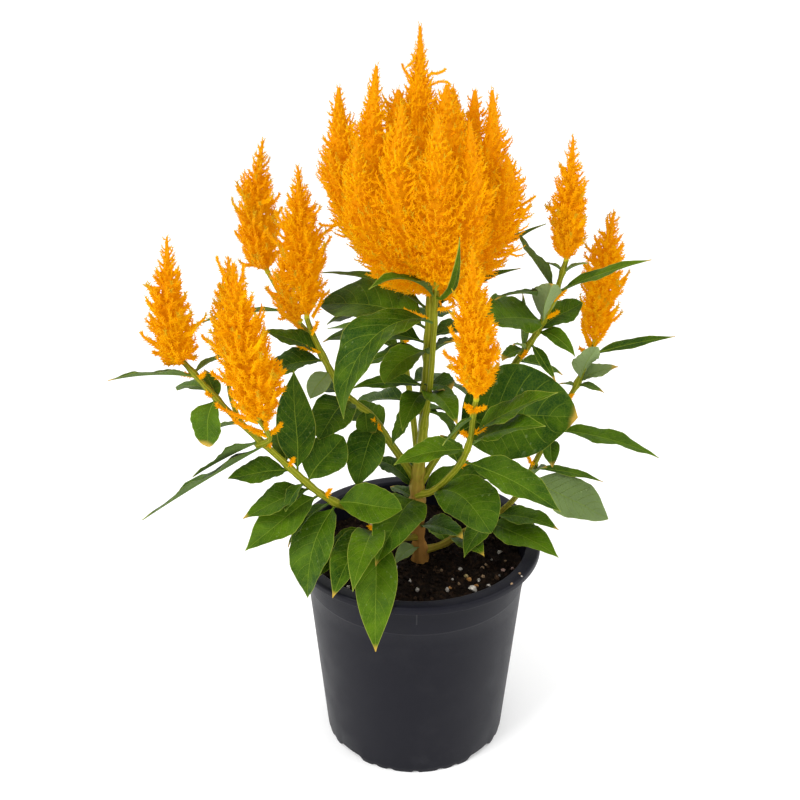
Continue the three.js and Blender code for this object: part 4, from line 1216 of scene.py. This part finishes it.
def branchlets(roots, out, up, reach, rise, thick, fresh, rng, each, depth=0.5):
    """
    Branchlets as tapering tongues set with florets. At a share t of its length a branchlet has
    gone out by reach (1 - (1 - t)^1.7) and up by rise t^1.5, and its radius is thick (1 - 0.8 t).
    The florets are shared out by length and spiral up each branchlet by the golden angle.
    """
    def path(k, t):
        """Points and directions at a share t of the length of branchlets k."""
        away, climb = reach[k] * (1 - (1 - t) ** 1.7), rise[k] * t**1.5
        spot = roots[k] + out[k] * away[:, None] + up[k] * climb[:, None]
        heading = (out[k] * (1.7 * reach[k] * (1 - t) ** 0.7)[:, None]
                   + up[k] * (1.5 * rise[k] * t**0.5 + 0.05)[:, None])
        return spot, unit(heading)

    def marked(k, t, tone):
        """The marks that points there carry: how far out, how young, their tone and t itself."""
        return {"outness": depth + (1 - depth) * (1 - (1 - t) ** 1.7), "fresh": fresh[k],
                "own_tone": tone, "branchlet_tip": t}

    number, sides, rows = len(reach), TONGUE_SIDES, len(TONGUE_RINGS)
    tone = rng.uniform(size=number)
    k, t = np.repeat(np.arange(number), rows), np.tile(TONGUE_RINGS, number)
    spot, heading = path(k, t)
    rings = spot[:, None] + circles(heading, sides) * (thick[k] * (1 - 0.8 * t))[:, None, None]
    tips, _ = path(np.arange(number), np.ones(number))
    last = rows * sides
    points = np.concatenate((rings.reshape(number, last, 3), roots[:, None], tips[:, None]), axis=1)
    first = (last + 2) * np.arange(number)[:, None, None]
    foot, top = np.arange(sides), (rows - 1) * sides + np.arange(sides)
    ends = np.concatenate((fan(last, foot, turned=True), fan(last + 1, top)))
    faces = [(skin[None] + first).reshape(-1, skin.shape[1])
             for skin in (grid(rows, sides, around=True), ends)]
    k = np.repeat(np.arange(number), last + 2)
    t = np.tile(np.concatenate((np.repeat(TONGUE_RINGS, sides), (0, 1))), number)
    marks = {**marked(k, t, tone[k]), "floret_tip": np.zeros(len(k))}
    tongues = (points.reshape(-1, 3), faces, marks)

    size = np.hypot(reach, rise) + 1.0
    weight = np.cumsum(size)
    count = each * number
    place = (np.arange(count) + 0.5) / count * weight[-1]
    k = np.minimum(np.searchsorted(weight, place), number - 1)
    t = 0.15 + 0.85 * np.clip(1 - (weight[k] - place) / size[k], 0, 1)
    spot, heading = path(k, t)
    side, other = across(heading)
    spin = np.arange(count)[:, None] * GOLDEN_ANGLE
    around = np.cos(spin) * side + np.sin(spin) * other
    base = spot + around * (0.7 * thick[k] * (1 - 0.8 * t))[:, None]
    lean = unit(heading * (0.4 + t)[:, None] + around + rng.normal(0, 0.35, (count, 3)))
    size = rng.uniform(0.6, 1.25, count) * np.clip(0.55 + 0.4 * thick[k], 0.5, 1.2)
    marks = marked(k, t, 0.5 * tone[k] + 0.5 * rng.uniform(size=count))
    return [tongues, florets(base, lean, FLORET_LENGTH * size, FLORET_WIDTH * size, marks)]


def spire_core(spire, heart, seed):
    """The lumpy heart of a spire, which closes the gaps between its branchlets, on its stalk."""
    rng = np.random.default_rng(seed)
    steps, sides = CORE_RINGS, CORE_SIDES
    share = np.linspace(0, 0.985, steps)
    spots, direction = spire_axis(*spire[:3], share)
    thick = np.maximum(np.maximum(PLUME_NECK * (1 - share), heart * spire_girth(share, spire)), 0.4)
    points, faces, _ = tube(spots, direction, thick, sides)
    rings = points[:-2].reshape(steps, sides, 3)
    lumps = rng.uniform(0.85, 1.1, (steps, sides, 1))
    points[:-2] = (spots[:, None] + (rings - spots[:, None]) * lumps).reshape(-1, 3)
    stalk = np.clip(1 - np.repeat(share, sides) / 0.1, 0, 1)
    # The core carries a low outness, so it takes the painted shade of the inside of the plume.
    marks = {"outness": np.full(len(points), 0.3), "own_tone": rng.uniform(size=len(points)),
             "fresh": -np.concatenate((stalk, [1.0, 0.0])), "floret_tip": np.zeros(len(points)),
             "branchlet_tip": np.zeros(len(points))}
    return points, faces, marks


def nearness(points, spire):
    """How far points lie from a spire's axis, in girths of the spire there."""
    share = np.linspace(0.0, 0.995, 60)
    spots, _ = spire_axis(*spire[:3], share)
    flat = points.reshape(-1, 3)
    squared = (flat**2).sum(1)[:, None] + (spots**2).sum(1) - 2 * flat @ spots.T
    away = np.sqrt(np.maximum(squared, 0.01))
    return (away / spire_girth(share, spire)).min(axis=1).reshape(points.shape[:-1])


def plume(spires, style, seed):
    """
    Spires that have grown into one another, each as its branchlets and its core. A branchlet ends
    where the sum of (girth / distance)^4 over the two nearest spires falls to 1, give or take its
    own share; those that would end deep inside a neighbour are left out.
    """
    grown = []
    for i, spire in enumerate(spires):
        rng = np.random.default_rng(seed + i)
        length = np.linalg.norm(np.subtract(spire[2], spire[0]))
        fine = np.linspace(max(spire[-1], 0.5) / length, 0.995, 400)
        weight = np.cumsum(spire_girth(fine, spire) + 1.2)
        number = int(2 * np.pi * spire_girth(fine, spire).mean() * length / style["spacing"])
        share = np.interp((np.arange(number) + 0.5) / number, weight / weight[-1], fine)
        spots, direction = spire_axis(*spire[:3], share)
        side, other = across(direction)
        turn = np.arange(number) * GOLDEN_ANGLE + seed + i
        out = np.cos(turn)[:, None] * side + np.sin(turn)[:, None] * other
        girth = spire_girth(share, spire)
        tries = spots[:, None] + out[:, None] * (girth[:, None] * REACHES)[..., None]
        near = np.array([nearness(tries, one) for one in spires])
        inside = (np.sort(near, axis=0)[:2] ** -4).sum(axis=0) >= 1
        inside = np.cumprod(inside, axis=1).sum(axis=1)
        others = np.delete(near, i, axis=0)[:, :, AT_GIRTH]
        kept = others.min(axis=0, initial=9) > 0.8
        reached = REACHES[np.clip(inside - 1, 0, len(REACHES) - 1)]
        radius = girth * reached * ragged(share, turn, rng)
        chance = rng.uniform(size=number)
        longest = chance > STANDS_FAR_OUT
        teeth = 0.4 * (chance > STANDS_OUT) + 0.6 * longest
        radius *= rng.uniform(0.8, 1.06, number) + style["teeth"] * teeth
        start = style["heart"] * radius
        reach = radius - start + 0.3
        rise = reach * rng.uniform(0.4, 1.0, number) + 1.2
        sway = rng.normal(0, 0.35, (number, 3))
        thick = np.clip(0.3 + 0.12 * radius, 0.4, style["thick"]) * rng.uniform(0.75, 1.2, number)
        thick *= 1 + 0.25 * longest
        fresh = np.maximum(np.clip((share - 0.78) / 0.22, 0, 1), 0.8 * longest)
        low = direction * (0.5 * rise * np.minimum(1, 6 * share))[:, None]
        roots = spots + out * start[:, None] - low
        grown_there = (roots, unit(out + sway), direction, reach, rise, thick, fresh)
        set_on = branchlets(*(part[kept] for part in grown_there), rng, style["each"])
        grown.append([*set_on, spire_core(spire, style["heart"], seed + i)])
    return grown


def stray(start_point, end_point, curl, thick, seed, each=STRAY_FLORETS):
    """A branchlet that stands away from the rest and turns up at its end by the curl."""
    rng = np.random.default_rng(seed)
    run = np.subtract(end_point, start_point) - np.array((0, 0, curl))
    shape = (start_point, unit(run), (0, 0, 1), np.linalg.norm(run), curl, thick, 0.2)
    alone = [np.array([part], dtype=float) for part in shape]
    return branchlets(*alone, rng, each, depth=0.7)


def strays_of(name):
    """The stray branchlets of one plume."""
    rows = [(k, row[1:]) for k, row in enumerate(STRAY_BRANCHLETS) if row[0] == name]
    return [part for k, row in rows for part in stray(*row, seed=70 + k)]


def floret_paint(start):
    """
    Orange to gold by each floret's tone and two noises, darkened towards the core as painted shade,
    olive at the young tips, green on the bare stalk, and given a painted glow in its own colour
    that stands in for the light that comes through thin petals.
    """
    place = start.place()
    outness, tone = start.mark("outness"), start.mark("own_tone")
    fresh, tip = start.mark("fresh"), start.mark("floret_tip")
    drift = place.noise(60, 2, 0.5)
    grain = place.noise(1100, 2, 0.6)
    gold = tone * 0.5 + drift.step(0.3, 0.7) * 0.45 + grain.step(0.3, 0.7) * 0.4 + tip * 0.2 - 0.35
    colour = gold.math("MAXIMUM", 0.0).at_most_one().between(FLORET_ORANGE, FLORET_GOLD)
    # Painted shade: florets and core get darker the nearer they sit to the spire's axis (low
    # outness), where shade falls between the branchlets; the fine grain adds darker specks of their
    # own colour.
    deep = (1 - outness.step(0.35, 0.85)) * 0.5 + (1 - grain.step(0.25, 0.5)) * 0.15
    colour = deep.at_most_one().between(colour, FLORET_DEEP_AND_SHADED)
    olive = (fresh.step(0.1, 1.0) * 0.75 + 0.06) * start.mark("branchlet_tip").step(0.5, 1.0)
    olive = olive + place.noise(33, 1).step(0.62, 0.75) * 0.12
    colour = olive.math("MINIMUM", 0.8).between(colour, FLORET_OLIVE)
    colour = (fresh * -1).step(0.1, 0.9).between(colour, STALK_GREEN)
    bump = grain.bump(0.6, 0.0004)
    # Painted glow: the florets emit a little of their own colour, which stands in for light coming
    # through the thin petals and lifts their shade.
    return {"Base Color": colour, "Roughness": tone * 0.15 + 0.6, "Specular IOR Level": 0.05,
            "Normal": bump, "Emission Color": colour, "Emission Strength": 0.3}


def build_plumes():
    """Each side plume on its stem's end, and the main plume's spires dealt out to three pieces."""
    material = finish("floret_gold", floret_paint)
    for seed, (name, (stem, *shape)) in enumerate(SIDE_PLUMES.items()):
        end, direction = along(STEMS[stem][0], [1.0])
        spire = (end[0] - direction[0], *shape)
        grown = plume([spire, *LOBES.get(name, [])], SIDE_STYLE, seed + 1)
        points, faces, marks = joined([part for parts in grown for part in parts] + strays_of(name))
        make(f"{name}_florets", points, faces, material, [name], sharp=None, marks=marks)
    thirds = {"plume_main_a": [], "plume_main_b": [], "plume_main_c": []}
    spires = []
    for stem, rows in (("trunk", MAIN_SPIRES), ("fore_shoot", FORE_SPIRES)):
        end, direction = along(STEMS[stem][0], [1.0])
        crown = end[0] + (0.3 + PLUME_NECK_LENGTH) * direction[0]
        spires += [(crown, *row, MAIN_FOOT_OPENING, MAIN_BARE) for row in rows]
        neck = np.array([end[0] - direction[0], crown + direction[0] * 2])
        girth = np.full(2, PLUME_NECK)
        points, faces, _ = tube(neck, np.repeat(direction, 2, axis=0), girth, NECK_SIDES)
        flat = np.ones(len(points))
        marks = {"outness": 0.3 * flat, "own_tone": 0.5 * flat, "fresh": -flat,
                 "floret_tip": 0 * flat, "branchlet_tip": 0 * flat}
        thirds["plume_main_a"].append((points, faces, marks))
    for k, parts in enumerate(plume(spires, MAIN_STYLE, 20)):
        thirds[list(thirds)[k % 3]] += parts
    thirds["plume_main_b"] += strays_of("plume_main")
    for name, parts in thirds.items():
        points, faces, marks = joined(parts)
        make(name, points, faces, material, ["plume_main"], sharp=None, marks=marks)


build_plumes()


# ---- Floret buds on the stems -----------------------------------------------------------------
# Small tufts of florets that sit in the leaf axils below the plumes, orange like them, and a ring
# of them round the front branch just under its plume.

BUD_CURL, BUD_THICK, FLORETS_PER_BUD = 1.5, 1.6, 60
# For each node, where its buds grow and where they end.
BUDS = {
    "main_stem": [
        ((8, 3, 302), (-7, 0, 309)), ((-26, -36, 175), (-29, -38, 179)),
    ],
    "branch_left": [
        ((-129, -50, 288), (-137, -52, 291)), ((-127, -51, 287), (-123, -53, 291)),
        ((-88, -50, 240), (-88, -52, 247)), ((-77, -48, 227), (-74, -51, 234)),
        ((-56, -42, 202), (-53, -44, 209)), ((-105, -52, 260), (-108, -54, 265)),
        ((-118, -52, 276), (-122, -54, 279)),
    ],
    "branch_rear_left": [
        ((-60, 9, 277), (-74, 7, 283)), ((-65, 9, 289), (-61, 7, 298)),
        ((-22, 2, 225), (-27, -1, 235)), ((-43, 7, 247), (-45, 4, 255)),
    ],
    "branch_front": [
        ((32, -65, 275), (27, -67, 277)), ((32, -65, 274), (38, -67, 276)),
        ((32, -64, 273), (34, -69, 276)), ((32, -64, 273), (29, -69, 275)),
        ((31, -54, 251), (26, -57, 255)), ((32, -55, 253), (39, -57, 258)),
        ((26, -35, 220), (30, -38, 225)),
    ],
    "branch_right": [
        ((85, 18, 308), (92, 17, 316)), ((80, 21, 295), (88, 19, 300)),
        ((66, 24, 266), (70, 22, 272)),
    ],
    "branch_far_right": [
        ((114, 43, 262), (107, 41, 266)), ((116, 44, 265), (122, 42, 276)),
        ((115, 43, 264), (108, 41, 279)), ((80, 27, 185), (75, 25, 194)),
        ((100, 37, 228), (103, 35, 235)),
    ],
    "branch_rear": [
        ((-12, 69, 304), (-17, 66, 312)), ((-8, 53, 264), (-3, 50, 271)),
    ],
}


def build_buds():
    """The buds of each node of the model, as one piece of short, curled branchlets."""
    # The buds share the florets' material, with its painted shade and painted glow.
    material = bpy.data.materials["floret_gold"]
    for node, tufts in BUDS.items():
        parts = [part for k, (root, tip) in enumerate(tufts)
                 for part in stray(root, tip, BUD_CURL, BUD_THICK, 200 + k, FLORETS_PER_BUD)]
        points, faces, marks = joined(parts)
        make(f"{node}_buds", points, faces, material, [node], sharp=None, marks=marks)


build_buds()


# ---- Floor, light and camera ------------------------------------------------------------------
# A plain white floor that runs out of sight, a broad soft light from the upper left, a weaker one
# from the right, and a camera that looks down on the plant from the front. All of it in metres.

FLOOR_WHITE = (0.95, 0.95, 0.95)
AIM = (0, 0, 0.25)
LIGHTS = {"light_left": ((-1.3, -1.1, 1.7), 1.0, 30), "light_right": ((1.6, -0.3, 1.2), 1.0, 12)}
CAMERA_PLACE, CAMERA_TILT = (-0.0103, -0.7032, 0.5898), 25.91
CAMERA_LENS, CAMERA_SENSOR = 56, 36


def floor_paint(start):
    """Nearly white, and glowing a little so that it meets the white around it."""
    place = start.place()
    return {"Base Color": FLOOR_WHITE, "Roughness": place.noise(3) * 0.05 + 0.8,
            "Specular IOR Level": 0.1, "Emission Color": (1.0, 1.0, 1.0), "Emission Strength": 0.1}


floor_mesh = bpy.data.meshes.new("floor")
floor_mesh.from_pydata([(-8, -4, 0), (8, -4, 0), (8, 14, 0), (-8, 14, 0)], [], [(0, 1, 2, 3)])
floor_mesh.materials.append(finish("floor_white", floor_paint))
floor = bpy.data.objects.new("floor", floor_mesh)
bpy.context.collection.objects.link(floor)

world = bpy.context.scene.world or bpy.data.worlds.new("world")
bpy.context.scene.world = world
world.use_nodes = True
world.node_tree.nodes["Background"].inputs["Color"].default_value = (1, 1, 1, 1)
world.node_tree.nodes["Background"].inputs["Strength"].default_value = 1.0


def softbox(name, place, aim, size, power):
    """A square area light at place, turned to face aim."""
    lamp = bpy.data.lights.new(name, "AREA")
    lamp.size = size
    lamp.energy = power
    holder = bpy.data.objects.new(name, lamp)
    bpy.context.collection.objects.link(holder)
    holder.location = place
    away = np.subtract(place, aim)
    yaw = np.arctan2(away[1], away[0]) + np.pi / 2
    pitch = np.arctan2(np.hypot(away[0], away[1]), away[2])
    holder.rotation_euler = (pitch, 0, yaw)


for name, (place, size, power) in LIGHTS.items():
    softbox(name, place, AIM, size, power)

camera = bpy.data.objects.new("camera", bpy.data.cameras.new("camera"))
camera.data.lens = CAMERA_LENS
camera.data.sensor_width = CAMERA_SENSOR
camera.location = CAMERA_PLACE
camera.rotation_euler = (radians(90 - CAMERA_TILT), 0, 0)
bpy.context.collection.objects.link(camera)
bpy.context.scene.camera = camera
bpy.context.scene.view_settings.view_transform = "Standard"
